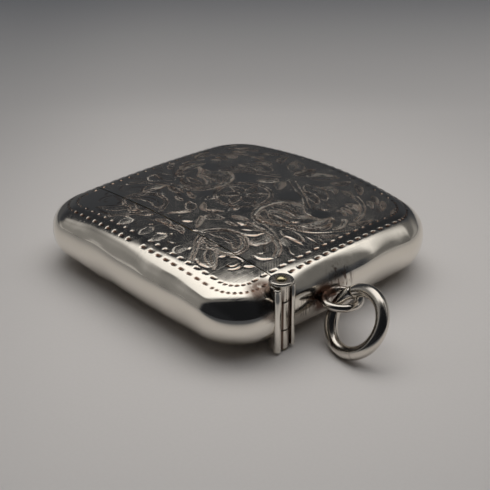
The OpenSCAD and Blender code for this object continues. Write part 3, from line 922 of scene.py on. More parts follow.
@dataclass(frozen=True)
class WearMarks:
    """Noises, steps and shares of the marks on all the finishes, with heights in the bump's own measure."""

    scratches: tuple[Noise, ...] = (
        Noise(90, 3, (40, 1, 8), 0.5), Noise(70, 3, (40, 1, 8), 1.9), Noise(110, 3, (40, 1, 8), 2.7))
    scratch_steps: Ramp = Ramp(0.62, 0.7)
    scratch_depth: float = 0.3
    scratch_rough: float = 0.5
    grain: Noise = Noise(3500)
    grain_height: float = 0.25
    dents: Noise = Noise(80, 1)
    dent_middle: float = 0.5
    dent_height: float = 130.0
    dent_levels: tuple[float, float] = (7.2, 8.8)
    patches: Noise = Noise(260, 4)
    patch_steps: Ramp = Ramp(0.75, 0.95)
    patch_growth: float = 0.3
    polish: Noise = Noise(900, 3)
    polish_steps: Ramp = Ramp(0.3, 0.7)
    hatch_pitch: float = 0.32
    hatch_stain: Ramp = Ramp(0.2, 0.9, 0, 0.8)
    hatch_rough: float = 0.26
    worked: Noise = Noise(700, 3)
    worked_steps: Ramp = Ramp(0.35, 0.65, 0.5, 1)
    worn: Noise = Noise(500, 3)
    worn_steps: Ramp = Ramp(0.3, 0.7, 0.35, 0.95)
    grime_and_shade_gain: float = 0.92
    grime_rough: float = 0.2
    cloud: Noise = Noise(800, 4)
    cloud_steps: Ramp = Ramp(0.25, 0.48)
    streak: Noise = Noise(3200, 3, (1, 1, 0.22), 0.4)
    streak_steps: Ramp = Ramp(0.52, 0.6)
    spot_core: float = 0.45
    bump_share: float = 0.35
    bump_height: float = 0.00003


WEAR = WearMarks()


@dataclass(frozen=True)
class MetalFinish:
    """A worked metal: its colour, polish, scratches and the tarnish and grime that gather on it, with
    painted shade darkened in the same way as grime.

    A spot is given by place, reach and share.
    """

    name: str
    colour: Colour
    tarnish_colour: Colour
    roughness: float
    wear: float
    scratch: float
    tarnish: float
    engraved: bool = False
    grime_and_shadow_spots: Spots = ()
    scuffed_spots: Spots = ()
    grime_and_shade_colour: Colour = (0.095, 0.042, 0.024)

    def grime(self, bench: NodeBench, place: Socket) -> Socket:
        """Share of grime and painted shade: the points' pit marks, which hold grime in engraved pits and
        painted shade in the hinge's troughs, on the knuckles and under the loop; clouds round solder, where
        grime and a painted shadow of the loop meet; and streaks where it is scuffed.

        Args:
            bench: The material's nodes.
            place: The piece's own coordinates.

        Returns:
            The share.
        """
        # The pit marks hold grime in engraved pits, and painted shade on the hinge and the loop.
        grime = bench.times(bench.attribute("pit"), WEAR.grime_and_shade_gain)
        for spots, noise, steps in ((self.grime_and_shadow_spots, WEAR.cloud, WEAR.cloud_steps),
                                    (self.scuffed_spots, WEAR.streak, WEAR.streak_steps)):
            if spots:
                marks = bench.mark(place, noise, steps)
                spread = bench.most(*(self.spot(bench, place, *spot) for spot in spots))
                grime = bench.most(grime, bench.times(spread, marks))
        return grime

    def spot(self, bench: NodeBench, place: Socket, x: float, y: float, z: float, reach: float,
             share: float) -> Socket:
        """A share that holds round a place and fades out at its reach."""
        gap = bench.vector("DISTANCE", place, (x * MM, y * MM, z * MM))
        return bench.ramp(gap, Ramp(WEAR.spot_core * reach * MM, reach * MM, share, 0))

    def material(self) -> bpy.types.Material:
        """Builds the material.

        Scratches are three stretched noises at different turns, cut to their thin crests. Tarnish is a broad
        noise cut to patches, and on an engraved face also what the cuts and the hatching have gathered. The
        dents of handling are a broader noise still, on the rolled sides alone.

        Returns:
            The new material.
        """
        material = bpy.data.materials.new(self.name)
        material.use_nodes = True
        bench = NodeBench(material.node_tree)
        place = bench.add("ShaderNodeTexCoord").outputs["Object"]
        crest = bench.most(*(bench.mark(place, line, WEAR.scratch_steps) for line in WEAR.scratches))
        grown = WEAR.patch_growth * self.tarnish
        patch_steps = Ramp(WEAR.patch_steps.low - grown, WEAR.patch_steps.high - grown, 0, self.tarnish)
        stain = bench.mark(place, WEAR.patches, patch_steps)
        polish_steps = replace(WEAR.polish_steps, start=self.roughness, end=self.roughness + self.wear)
        rough = bench.total(bench.mark(place, WEAR.polish, polish_steps),
                            bench.times(crest, WEAR.scratch_rough * self.wear))
        low, high = (level * MM for level in WEAR.dent_levels)
        level = bench.add("ShaderNodeSeparateXYZ", Vector=place).outputs["Z"]
        dents = bench.math("SUBTRACT", bench.noise(place, WEAR.dents), WEAR.dent_middle)
        relief = bench.total(bench.times(crest, -WEAR.scratch_depth * self.scratch),
                             bench.times(bench.noise(place, WEAR.grain), WEAR.grain_height * self.scratch),
                             bench.times(dents, bench.ramp(level, Ramp(low, high, WEAR.dent_height, 0))))
        if self.engraved:
            wave = bench.math("SINE", bench.times(bench.attribute("hatch"), 2 * math.pi / WEAR.hatch_pitch))
            tone = bench.times(bench.attribute("leaf"), bench.mark(place, WEAR.worked, WEAR.worked_steps))
            relief = bench.total(relief, bench.times(wave, tone))
            rough = bench.total(rough, bench.times(tone, WEAR.hatch_rough))
            hatching = bench.times(bench.ramp(wave, WEAR.hatch_stain), tone)
            lines = bench.most(bench.attribute("stain"), hatching)
            stain = bench.most(stain, bench.times(lines, bench.mark(place, WEAR.worn, WEAR.worn_steps)))
        grime = self.grime(bench, place)
        colour = bench.blend(stain, self.colour, self.tarnish_colour)
        # Grime and painted shade both darken the colour towards the same brown.
        colour = bench.blend(grime, colour, self.grime_and_shade_colour)
        rough = bench.total(rough, bench.times(grime, WEAR.grime_rough))
        bump = bench.add("ShaderNodeBump", Height=relief, Strength=WEAR.bump_share,
                         Distance=WEAR.bump_height)
        shader = bench.add("ShaderNodeBsdfPrincipled", Base_Color=colour, Roughness=rough, Metallic=1.0,
                           Normal=bump.outputs[0])
        out = bench.add("ShaderNodeOutputMaterial", Surface=shader.outputs[0])
        out.is_active_output = True
        return material


@dataclass
class Finishes:
    """Every finish of the case, under its slot names."""

    slots: dict[str, bpy.types.Material] = field(default_factory=dict)

    def build(self) -> None:
        """Makes one material for each slot."""
        brown, copper = (0.16, 0.09, 0.05), (0.5, 0.29, 0.18)
        beside_hinge = ((19.3, -14.2, 8.8, 2.8, 0.85), (20.7, -14.6, 6.6, 2.0, 0.7))
        above_loop = ((20.9, -2.6, 6.0, 3.0, 0.8), (21.0, -8.6, 4.9, 2.0, 0.6))
        # Round the loop: clouds of solder grime that also paint the loop's shadow and dark reflection on the
        # side.
        round_loop_shadow_and_solder = ((21.2, -5.6, 4.8, 3.0, 0.97), (21.0, -3.2, 5.8, 2.0, 0.5))
        made = (
            MetalFinish("engraved_silver", (0.88, 0.832, 0.75), copper, 0.075, 0.05, 0.3, 0.12, True,
                        grime_and_shadow_spots=beside_hinge + round_loop_shadow_and_solder, scuffed_spots=above_loop),
            MetalFinish("polished_silver", (0.89, 0.845, 0.77), (0.55, 0.42, 0.3), 0.09, 0.06, 0.35, 0.12,
                        grime_and_shadow_spots=round_loop_shadow_and_solder, scuffed_spots=above_loop),
            MetalFinish("gilt_lining", (0.8, 0.6, 0.28), (0.45, 0.3, 0.13), 0.3, 0.15, 0.3, 0.3),
            MetalFinish("striker_silver", (0.7, 0.68, 0.64), brown, 0.26, 0.15, 0.6, 0.5),
            MetalFinish("hinge_silver", (0.84, 0.79, 0.71), brown, 0.14, 0.12, 0.4, 0.4),
            MetalFinish("pin_brass", (0.7, 0.62, 0.38), (0.35, 0.27, 0.13), 0.22, 0.1, 0.3, 0.3),
            MetalFinish("spring_steel", (0.42, 0.44, 0.5), (0.2, 0.14, 0.1), 0.24, 0.12, 0.4, 0.4),
        )
        for finish in made:
            self.slots[finish.name] = finish.material()
            LOG.info("finish %s", finish.name)


def mark_points(mesh: bpy.types.Mesh, name: str, values: Array) -> None:
    """Keeps a number at each point of a mesh for its finish."""
    mesh.attributes.new(name, "FLOAT", "POINT").data.foreach_set("value", values.astype(np.float32))


def place_piece(piece: bpy.types.Object, body: str, node: str) -> None:
    """Makes a piece stand for a CAD node, whose own mesh it hides, and ride on its body."""
    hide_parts(node)
    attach(piece, body)
    LOG.info("piece %s for %s on %s", piece.name, node, body)


def dress(node: str, body: str, slot: str, name: str, solid: Solid, finishes: Finishes,
          grime: Array | None = None) -> None:
    """Makes a piece of one finish and puts it in place.

    Args:
        node: CAD node that it stands for.
        body: Body that it rides on.
        slot: Its finish.
        name: Its name.
        solid: Its points and faces.
        finishes: The case's materials.
        grime: Share of grime and painted shade at each point, or None for a clean piece.
    """
    piece = add_piece(name, *solid, [finishes.slots[slot]])
    # On the hinge and the loop these pit marks are painted shade, on the ring grime and tarnish.
    if grime is not None:
        mark_points(piece.data, "pit", grime)
    place_piece(piece, body, node)


@dataclass(frozen=True)
class HingeBead:
    """Round bar along the front edge of a bearer: its radius, and its reach and angle about the pin."""

    radius: float
    reach: float
    angle: float

    def middle(self) -> Array:
        """Centre of the bead in plan, from the pin."""
        turn = math.radians(self.angle)
        return self.reach * np.array([math.cos(turn), math.sin(turn)])


BEADS = {Half.BODY: HingeBead(0.28, 1.43, 53.5), Half.LID: HingeBead(0.49, 1.6, -60.5)}


@dataclass
class PressedShell:
    """One pressed half of the body or lid: engraved outside, gilt inside, notched for hinge and striker.

    Columns and rows are counted on the inner grid. The outer grid has fine times as many.
    """

    form: CaseForm
    engraver: Engraver
    half: Half
    face: Face
    fine: int = 8
    roll_cols: int = 5
    roll_turn: float = 68.0
    field_cols: int = 38
    lid_rows: int = 8
    body_rows: int = 24
    end_rows: int = 3
    end_reach: float = 2.4
    seam_rows: tuple[float, ...] = (0.11, 0.05, 0.0)
    seam_kept: int = 6
    skin_slack: float = 0.03
    pocket_r: float = 1.58
    solder_gap: float = 0.03
    cutter_half: float = 8.0
    cutter_steps: int = 64
    striker_half: tuple[float, float] = (13.03, 1.73)
    striker_span: tuple[float, float] = (17.36, 26.0)

    def shares(self) -> Array:
        """Places across a row: even steps of turn round each rolled edge, even steps of width between."""
        turn = np.linspace(0, np.radians(self.roll_turn), self.roll_cols * self.fine + 1)
        drawn = self.form.edge_roll * (1 - np.cos(turn) ** (2 / self.form.roll_power)) / self.form.half_w
        rolled, last = drawn[:-1], drawn[-1]
        field_part = np.linspace(last - 1, 1 - last, self.field_cols * self.fine + 1)
        return np.concatenate([rolled - 1, field_part, (1 - rolled)[::-1]])

    def rows(self) -> Array:
        """Row parameters: close together at the seam and round the outer end, even between."""
        form, lid = self.form, self.half is Half.LID
        full = form.lid_length if lid else form.length - form.lid_length
        count = (self.lid_rows if lid else self.body_rows) * self.fine
        end_count = self.end_rows * self.fine
        turn = np.linspace(0, np.pi / 2, end_count, endpoint=False)
        rolled = self.end_reach * (1 - np.cos(turn)) / full
        plain = np.linspace(self.end_reach / full, 1, count - end_count - 1)[:-1]
        seam = 1 - np.array(self.seam_rows) / full
        grown = np.concatenate([rolled, plain[plain < seam[0] - TINY], seam])
        spare = (len(grown) - 1) % self.fine
        dropped = np.linspace(end_count + self.fine, len(grown) - self.seam_kept, spare)
        grown = np.delete(grown, dropped.astype(int))
        return grown if lid else (1 - grown)[::-1]

    def shell(self) -> tuple[Array, list, Array]:
        """Closed shell: fine outer grid, coarse inner grid, and a rim whose faces fan from fine to coarse.

        Returns:
            Points over the middle plane, faces, and each face's finish.
        """
        form, shares, rows = self.form, self.shares(), self.rows()
        outer = form.surface(self.half, rows, shares, 0.0, self.face)
        inner = form.surface(self.half, rows[::self.fine], shares[::self.fine], form.wall, self.face)
        shape, inner_shape = outer.shape[:2], inner.shape[:2]
        shift = math.prod(shape)
        skin, lining = grid_quads(*shape), grid_quads(*inner_shape)[:, ::-1] + shift
        ring = grid_border(np.arange(shift).reshape(shape))
        inner_ring = grid_border(shift + np.arange(math.prod(inner_shape)).reshape(inner_shape))
        start = np.arange(0, len(ring), self.fine)
        fine_edge = ring[(start[:, None] + np.arange(self.fine + 1)) % len(ring)]
        rim = np.concatenate([fine_edge[:, ::-1], inner_ring[:, None], np.roll(inner_ring, -1)[:, None]], 1)
        points = np.concatenate([outer.reshape(-1, 3), inner.reshape(-1, 3)])
        finish = np.concatenate([np.zeros(len(skin)), np.ones(len(lining)), np.zeros(len(rim))])
        return points, skin.tolist() + lining.tolist() + rim.tolist(), finish

    def cutters(self) -> list[bpy.types.Object]:
        """Solids that the notches are cut with: the hinge's pocket, its beads and the striker's window."""
        form, solids = self.form, []
        tall = np.array([[0, -self.cutter_half], [0, self.cutter_half]])
        bars = [(0.0, 0.0, self.pocket_r)]
        bars += [(*bead.middle(), bead.radius + self.solder_gap) for bead in BEADS.values()]
        for x, y, radius in bars:
            centre = np.array([form.hinge_x + x, form.hinge_y + y, form.half_t])
            solids.append(turned(tall + [[radius, 0]], centre, self.cutter_steps))
        if self.half is Half.BODY:
            (half_x, half_z), (low, high) = self.striker_half, self.striker_span
            window = np.array([(-half_x, low), (half_x, low), (half_x, high), (-half_x, high)])
            levels = np.array([[0, form.half_t - half_z], [0, form.half_t + half_z]])
            solids.append(rounded_plate(window, levels))
        return [add_piece("cutter", *solid, []) for solid in solids]

    def build(self, finishes: Finishes) -> None:
        """Makes the shell, cuts its notches, engraves it and puts it in place.

        Args:
            finishes: The case's materials.
        """
        points, faces, finish = self.shell()
        sign, front = self.face.value, self.face is Face.FRONT
        points = points * [1, 1, sign] + [0, 0, self.form.half_t]
        faces = faces if front else [face[::-1] for face in faces]
        slot = "engraved_silver" if front else "polished_silver"
        name = f"{self.half.value}_{'front' if front else 'back'}"
        materials = [finishes.slots[slot], finishes.slots["gilt_lining"]]
        piece = add_piece(f"{name}_shell", points, faces, materials, finish)
        cutters = self.cutters()
        for cutter in cutters:
            notch = piece.modifiers.new("notch", "BOOLEAN")
            notch.operation, notch.solver, notch.object = "DIFFERENCE", "MANIFOLD", cutter
        graph = bpy.context.evaluated_depsgraph_get()
        notched = bpy.data.meshes.new_from_object(piece.evaluated_get(graph))
        piece.modifiers.clear()
        piece.data = notched
        for cutter in cutters:
            bpy.data.objects.remove(cutter)
        self.engrave(notched)
        soften(notched)
        place_piece(piece, "case_body" if self.half is Half.BODY else "lid", name)

    def engrave(self, mesh: bpy.types.Mesh) -> None:
        """Sinks the engraving into the outer surface along its normals and keeps the marks.

        Args:
            mesh: The notched shell.
        """
        form, sign = self.form, self.face.value
        flat = np.empty(len(mesh.vertices) * 3)
        mesh.vertices.foreach_get("co", flat)
        points = flat.reshape(-1, 3) / MM
        x, y = points[:, 0], points[:, 1]
        rise = (points[:, 2] - form.half_t) * sign
        outside = np.abs(rise - form.height(x, y, 0.0, self.face)) < self.skin_slack
        work = self.engraver.worked(x, y, self.face is Face.BACK)
        sink = np.where(outside, work.depth, 0)
        moved = points - form.normal(x, y, self.face) * [1, 1, sign] * sink[:, None]
        mesh.vertices.foreach_set("co", (moved * MM).ravel())
        for name in ("stain", "pit", "leaf", "hatch"):
            mark_points(mesh, name, np.where(outside, getattr(work, name), 0))


@dataclass
class HingeWork:
    """The hinge: two beaded bearers, three knuckles, a riveted pin and the leaf spring behind them."""

    form: CaseForm
    length: float = 9.3
    bearer_r: float = 1.55
    bearer_in_r: float = 1.09
    back_deg: float = 174.0
    inner_lap: float = 2.0
    bead_lap: float = 160.0
    arc_steps: int = 36
    bead_steps: int = 30
    ease: float = 0.16
    knuckle_r: float = 1.05
    bore_r: float = 0.39
    lid_knuckle_l: float = 3.8
    knuckle_gap: float = 0.1
    knuckle_ease: float = 0.1
    cap_r: float = 1.55
    cap_t: float = 0.5
    cap_fillet: float = 0.05
    cap_dish: float = 0.03
    cap_steps: int = 12
    trough_shade_r: float = 1.2
    trough_shade_fade: float = 0.08
    lit_front_at: float = -9.0
    lit_front_half: float = 14.0
    lit_front_fade: float = 6.0
    cap_top_dark: float = 0.8
    top_skin: float = 0.06
    pin_r: float = 0.35
    pin_steps: int = 40
    head_r: float = 0.68
    head_rise: float = 0.32
    head_sunk: float = 0.02
    dome_turn: float = 86.0
    dome_rows: int = 10
    spring_w: float = 3.0
    spring_t: float = 0.25
    spring_slope: float = 3.2
    spring_straight: float = 0.5
    spring_step: float = 0.2
    spring_ease: float = 0.08

    def axis(self) -> Array:
        """Middle of the pin."""
        return np.array([self.form.hinge_x, self.form.hinge_y, self.form.half_t])

    def bearer_outline(self, half: Half) -> Array:
        """Plan of a bearer about the pin: outer arc from bead to back edge, inner arc back, and the bead."""
        bead, outer_r, inner_r = BEADS[half], self.bearer_r, self.bearer_in_r
        turn = abs(bead.angle)
        cover = math.acos((bead.reach ** 2 + outer_r ** 2 - bead.radius ** 2) / (2 * bead.reach * outer_r))
        last = math.degrees(math.atan2(outer_r * math.sin(cover), outer_r * math.cos(cover) - bead.reach))
        outer = arc(0, 0, outer_r, outer_r, turn + math.degrees(cover), self.back_deg, self.arc_steps)
        inner = arc(0, 0, inner_r, inner_r, self.back_deg, turn + self.inner_lap, self.bead_steps)
        middle = bead.middle() * [1, math.copysign(1, bead.angle)]
        edge = arc(0, 0, bead.radius, bead.radius, turn - self.bead_lap, turn + last, self.bead_steps)
        plan = np.vstack([outer, inner, middle + edge[:-1]])
        return plan if half is Half.BODY else plan[::-1] * [1, -1]

    def build(self, finishes: Finishes) -> None:
        """Makes and places every piece of the hinge.

        Args:
            finishes: The case's materials.
        """
        axis = self.axis()
        levels = eased_levels(self.length / 2, self.ease)
        levels[levels[:, 1] > 0, 1] -= self.cap_t + self.knuckle_gap
        for node, body, half in (("body_bearer", "case_body", Half.BODY), ("lid_bearer", "lid", Half.LID)):
            points, faces = rounded_plate(self.bearer_outline(half), levels)
            # Painted shade: the bearer's inner face round the knuckles is darkened, as in a shadowed groove.
            inside = self.trough_shade_r - np.hypot(points[:, 0], points[:, 1])
            grime = np.clip(inside / self.trough_shade_fade, 0, 1)
            dress(node, body, "polished_silver", f"{node}_trough", (points + axis, faces), finishes, grime)
        end_l = (self.length - self.lid_knuckle_l) / 2 - self.knuckle_gap
        end_z = (self.lid_knuckle_l + end_l) / 2 + self.knuckle_gap
        spans = (("upper_knuckle", "case_body", end_l, end_z),
                 ("lid_knuckle", "lid", self.lid_knuckle_l, 0.0),
                 ("lower_knuckle", "case_body", end_l, -end_z))
        for node, body, span, rise in spans:
            wall = rounded_box((self.knuckle_r - self.bore_r) / 2, span / 2, self.knuckle_ease)
            wall = wall + [(self.knuckle_r + self.bore_r) / 2, 0]
            if node == "upper_knuckle":
                wall = self.capped(wall, span / 2)
            points, faces = tube(wall, np.array([0, 0, rise]))
            grime = self.knuckle_shade_and_dark_top(points)
            dress(node, body, "hinge_silver", f"{node}_tube", (points + axis, faces), finishes, grime)
        self.build_pin(finishes)
        self.build_spring(finishes)

    def knuckle_shade_and_dark_top(self, points: Array) -> Array:
        """Darkening on the knuckles: painted shade to both sides, none on a front stripe that stays bright
        as a painted highlight, and a darker top of the cap.

        Args:
            points: Places from the middle of the pin.

        Returns:
            Share of grime at each place.
        """
        height, top = points[:, 2], self.length / 2
        reach = np.hypot(points[:, 0], points[:, 1])
        turn = np.abs(np.degrees(np.arctan2(points[:, 1], points[:, 0])) - self.lit_front_at)
        # Painted shade on both sides of the knuckles' round; the front stripe is left bright as a painted
        # highlight.
        sides = np.clip((turn - self.lit_front_half) / self.lit_front_fade, 0, 1) * (height < top - self.cap_t)
        on_top = self.cap_top_dark * (height > top - self.top_skin) * (reach < self.cap_r - self.cap_t / 2)
        return np.maximum(sides, on_top)

    def capped(self, wall: Array, top: float) -> Array:
        """Section of a capped knuckle: the tube's section, with a bead-edged flange for its top.

        Args:
            wall: Section of the plain tube.
            top: Height of the tube's top.

        Returns:
            The section with the cap.
        """
        low = wall[wall[:, 1] < 0]
        inner, outer = low[low[:, 0] < wall[:, 0].mean()], low[low[:, 0] >= wall[:, 0].mean()]
        half = self.cap_t / 2
        edge = arc(self.cap_r - half, top - half, half, half, -90, 90, self.cap_steps)
        under = np.array([[self.knuckle_r + self.cap_fillet, top - self.cap_t]])
        over = np.array([[self.head_r, top - self.cap_dish], [self.bore_r, top - self.cap_dish]])
        return np.vstack([outer, under, edge, over, inner])

    def build_pin(self, finishes: Finishes) -> None:
        """Makes the pin: a bar with a riveted dome, nearly a quarter ellipse in section, at each end."""
        turn, top = np.linspace(0, np.radians(self.dome_turn), self.dome_rows), self.length / 2
        dome = np.stack([self.head_r * np.cos(turn), top + self.head_rise * np.sin(turn)], -1)
        neck = np.array([[self.pin_r, top - self.head_sunk], [self.head_r, top - self.head_sunk]])
        upper = np.vstack([neck, dome])
        profile = np.vstack([upper[::-1] * [1, -1], upper])
        solid = turned(profile, self.axis(), self.pin_steps)
        dress("hinge_pin", "case_body", "pin_brass", "hinge_pin_rivet", solid, finishes)

    def build_spring(self, finishes: Finishes) -> None:
        """Makes the leaf spring: a strip with eased edges along a bent line beside the bearers."""
        low, high = (np.array(corner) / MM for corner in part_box("lid_spring"))
        bend_y, half = self.form.hinge_y + self.bearer_r, self.spring_t / 2
        root_y, near, far = bend_y + self.spring_slope, high[0] - half, low[0] + half
        control = np.array([(near, high[1]), (near, root_y + self.spring_straight), (near, root_y),
                            (far, bend_y), (far, bend_y - self.spring_straight), (far, low[1])])
        line = spline(control, self.spring_step)
        path = np.column_stack([line, np.full(len(line), self.form.half_t)])
        solid = strip(path, (0.0, 0.0, 1.0), half, self.spring_w / 2, self.spring_ease)
        dress("lid_spring", "case_body", "spring_steel", "lid_spring_leaf", solid, finishes)


def spokes(turn: Array) -> Array:
    """Level directions at turns about the upright axis."""
    return np.stack([np.cos(turn), np.sin(turn), np.zeros_like(turn)], -1)


@dataclass
class CaseFittings:
    """Small parts of the case: mouth collar, striker, thumb piece, side loop and hanging ring.

    The loop's painted shade under its wire is where it starts above the middle, its most, and the share of
    darkening that it paints.
    """

    form: CaseForm
    collar_reach: float = 1.2
    collar_seat: float = 1.6
    collar_t: float = 0.35
    collar_clear: float = 0.12
    collar_open: float = 3.2
    collar_ease: float = 0.12
    collar_steps: int = 48
    striker_l: float = 26.0
    striker_w: float = 3.4
    striker_t: float = 0.5
    striker_ease: float = 0.1
    tooth_pitch: float = 0.65
    tooth_depth: float = 0.2
    tooth_steps: int = 12
    tooth_blunt: float = 1.15
    thumb_r: float = 2.2
    thumb_reach: float = 0.9
    thumb_t: float = 1.0
    thumb_root: float = 0.15
    thumb_ease: float = 0.28
    thumb_steps: int = 40
    loop_r: float = 2.15
    loop_wire_r: float = 0.45
    loop_half: tuple[float, float] = (0.55, 0.48)
    loop_at: tuple[float, float] = (23.0, -4.6)
    loop_sunk: float = 0.3
    loop_steps: tuple[int, int] = (96, 33)
    loop_shade: tuple[float, float, float] = (0.25, 0.8, 0.7)
    solder_swell: float = 0.4
    solder_reach: float = 0.25
    ring_r: float = 3.9
    ring_wire_r: float = 0.84
    ring_at: tuple[float, float, float] = (26.7484, -6.0465, 4.0785)
    ring_lean: float = 55.356
    ring_heading: float = -99.8
    ring_joint: float = 225.0
    ring_cut: float = 1.4
    ring_mark: float = 31.0
    ring_steps: int = 193
    wire_steps: int = 41
    joint_draw: float = 0.1
    joint_reach: float = 0.02
    mark_grime: float = 0.55
    mark_half: float = 0.03
    aged: float = 0.2

    def build(self, finishes: Finishes) -> None:
        """Makes and places every fitting.

        Args:
            finishes: The case's materials.
        """
        self.build_collar(finishes)
        self.build_striker(finishes)
        self.build_thumb(finishes)
        self.build_loop(finishes)
        self.build_ring(finishes)

    def build_collar(self, finishes: Finishes) -> None:
        """Makes the mouth collar: an eased strip round the mouth's section, open beside the hinge."""
        form = self.form
        depth = form.wall + self.collar_clear + self.collar_t / 2
        open_x, far_x = form.hinge_x - self.collar_open, depth - form.half_w
        x = open_x + (far_x - open_x) * np.sin(np.linspace(0, np.pi / 2, self.collar_steps))
        tip_y = form.seam_y - self.collar_reach
        half = np.column_stack([x, form.height(x, np.full_like(x, tip_y), depth, Face.FRONT)])
        line = np.vstack([half, half[-2::-1] * [1, -1]])
        middle_y = form.seam_y + (self.collar_seat - self.collar_reach) / 2
        path = np.column_stack([line[:, 0], np.full(len(line), middle_y), line[:, 1] + form.half_t])
        length = self.collar_seat + self.collar_reach
        solid = strip(path, (0.0, 1.0, 0.0), self.collar_t / 2, length / 2, self.collar_ease)
        dress("mouth_collar", "case_body", "gilt_lining", "mouth_collar_strip", solid, finishes)

    def build_striker(self, finishes: Finishes) -> None:
        """Makes the striker: a strip along the base's bow whose outer face is a row of teeth.

        The section at each step is an eased bar, whose outer edge is lowered by a blunted triangle wave.
        """
        form = self.form
        steps = self.tooth_steps * math.floor(self.striker_l / self.tooth_pitch) + 1
        reach = math.asin(self.striker_l / 2 / form.bow_r)
        turn = np.linspace(-reach, reach, steps)
        crest = 1 - np.abs(2 * ((np.arange(steps) / self.tooth_steps) % 1) - 1)
        lower = self.tooth_depth * (1 - np.clip(self.tooth_blunt * crest, 0, 1))
        profile = rounded_box(self.striker_w / 2, self.striker_t / 2, self.striker_ease)
        section = np.broadcast_to(profile, (steps, *profile.shape)).copy()
        section[..., 1] -= np.where(section[..., 1] > 0, lower[:, None], 0)
        outward = np.stack([np.sin(turn), np.cos(turn), np.zeros(steps)], -1)
        middle = np.array([0, form.bow_y, form.half_t]) + (form.bow_r - self.striker_t / 2) * outward
        solid = sweep(middle, np.broadcast_to([0.0, 0.0, -1.0], middle.shape), outward, section)
        dress("striker_plate", "case_body", "striker_silver", "striker_teeth", solid, finishes)

    def build_thumb(self, finishes: Finishes) -> None:
        """Makes the thumb piece: a round segment with eased edges on the side away from the hinge."""
        form, radius = self.form, self.thumb_r
        half_chord = math.sqrt(radius ** 2 - (radius - self.thumb_reach) ** 2)
        centre = (radius - self.thumb_reach - form.half_w, form.seam_y - form.seam_gap / 2 - half_chord)
        spread = math.degrees(math.asin(half_chord / radius))
        outline = arc(*centre, radius, radius, 180 - spread, 180 + spread, self.thumb_steps)
        root_x = self.thumb_root - form.half_w
        root = np.array([(root_x, outline[-1, 1]), (root_x, outline[0, 1])])
        levels = eased_levels(self.thumb_t / 2, self.thumb_ease)
        points, faces = rounded_plate(np.vstack([outline, root]), levels)
        solid = points + [0, 0, form.half_t], faces
        dress("thumb_piece", "lid", "polished_silver", "thumb_lip", solid, finishes)

    def build_loop(self, finishes: Finishes) -> None:
        """Makes the loop: a round wire ring, filed flat inside the side and swelling into solder there.

        Painted shade darkens the wire's underside, by how far each point lies below the middle.
        """
        form, half = self.form, self.loop_half
        count, wire_count = self.loop_steps
        out = spokes(np.linspace(0, 2 * np.pi, count, endpoint=False))
        path = np.array([*self.loop_at, form.half_t]) + self.loop_r * out
        from_side = np.clip(path[:, 0] - form.half_w, 0, None)
        swell = 1 + self.solder_swell * np.exp(-from_side / self.solder_reach)
        wire = arc(0, 0, 1, 1, 0, 360, wire_count)[:-1] * half + [half[0] - self.loop_wire_r, 0]
        section = wire[None] * swell[:, None, None]
        points = path[:, None] + section[..., :1] * out[:, None] + section[..., 1:] * [0.0, 0.0, 1.0]
        points[..., 0] = np.maximum(points[..., 0], form.half_w - self.loop_sunk)
        faces = grid_quads(*points.shape[:2], wrap_cols=True, wrap_rows=True)[:, ::-1]
        middle, most, share = self.loop_shade
        # Painted shade: the wire is darkened below its middle and carried in the pit marks.
        under = np.clip(middle - (points[..., 2].ravel() - form.half_t) / half[1], 0, most)
        dress("suspension_loop", "case_body", "polished_silver", "side_loop",
              (points.reshape(-1, 3), faces.tolist()), finishes, np.maximum(self.aged, share * under))

    def build_ring(self, finishes: Finishes) -> None:
        """Makes the hanging ring: round wire bent almost full circle, with a butt joint and a dark mark."""
        cut = math.radians(self.ring_cut)
        turn = math.radians(self.ring_joint) + np.linspace(cut / 2, 2 * np.pi - cut / 2, self.ring_steps)
        out = spokes(turn)
        up = np.broadcast_to([0.0, 0.0, 1.0], out.shape)
        wire = self.ring_wire_r * arc(0, 0, 1, 1, 0, 360, self.wire_steps)[:-1]
        near_end = np.minimum(turn - turn[0], turn[-1] - turn)
        scale = 1 - self.joint_draw * np.exp(-near_end / self.joint_reach)
        points, faces = sweep(self.ring_r * out, -out, up, wire, scale)
        heading = Matrix.Rotation(math.radians(self.ring_heading), 3, "Z")
        spin = heading @ Matrix.Rotation(math.radians(self.ring_lean), 3, "Y")
        points = points @ np.array(spin).T + self.ring_at
        from_mark = np.abs(np.repeat(turn, len(wire)) - math.radians(self.ring_mark + 360))
        mark = self.mark_grime * np.exp(-(from_mark / self.mark_half) ** 2)
        dress("hanging_ring", "ring", "polished_silver", "hanging_ring_wire", (points, faces), finishes,
              np.maximum(self.aged, mark))


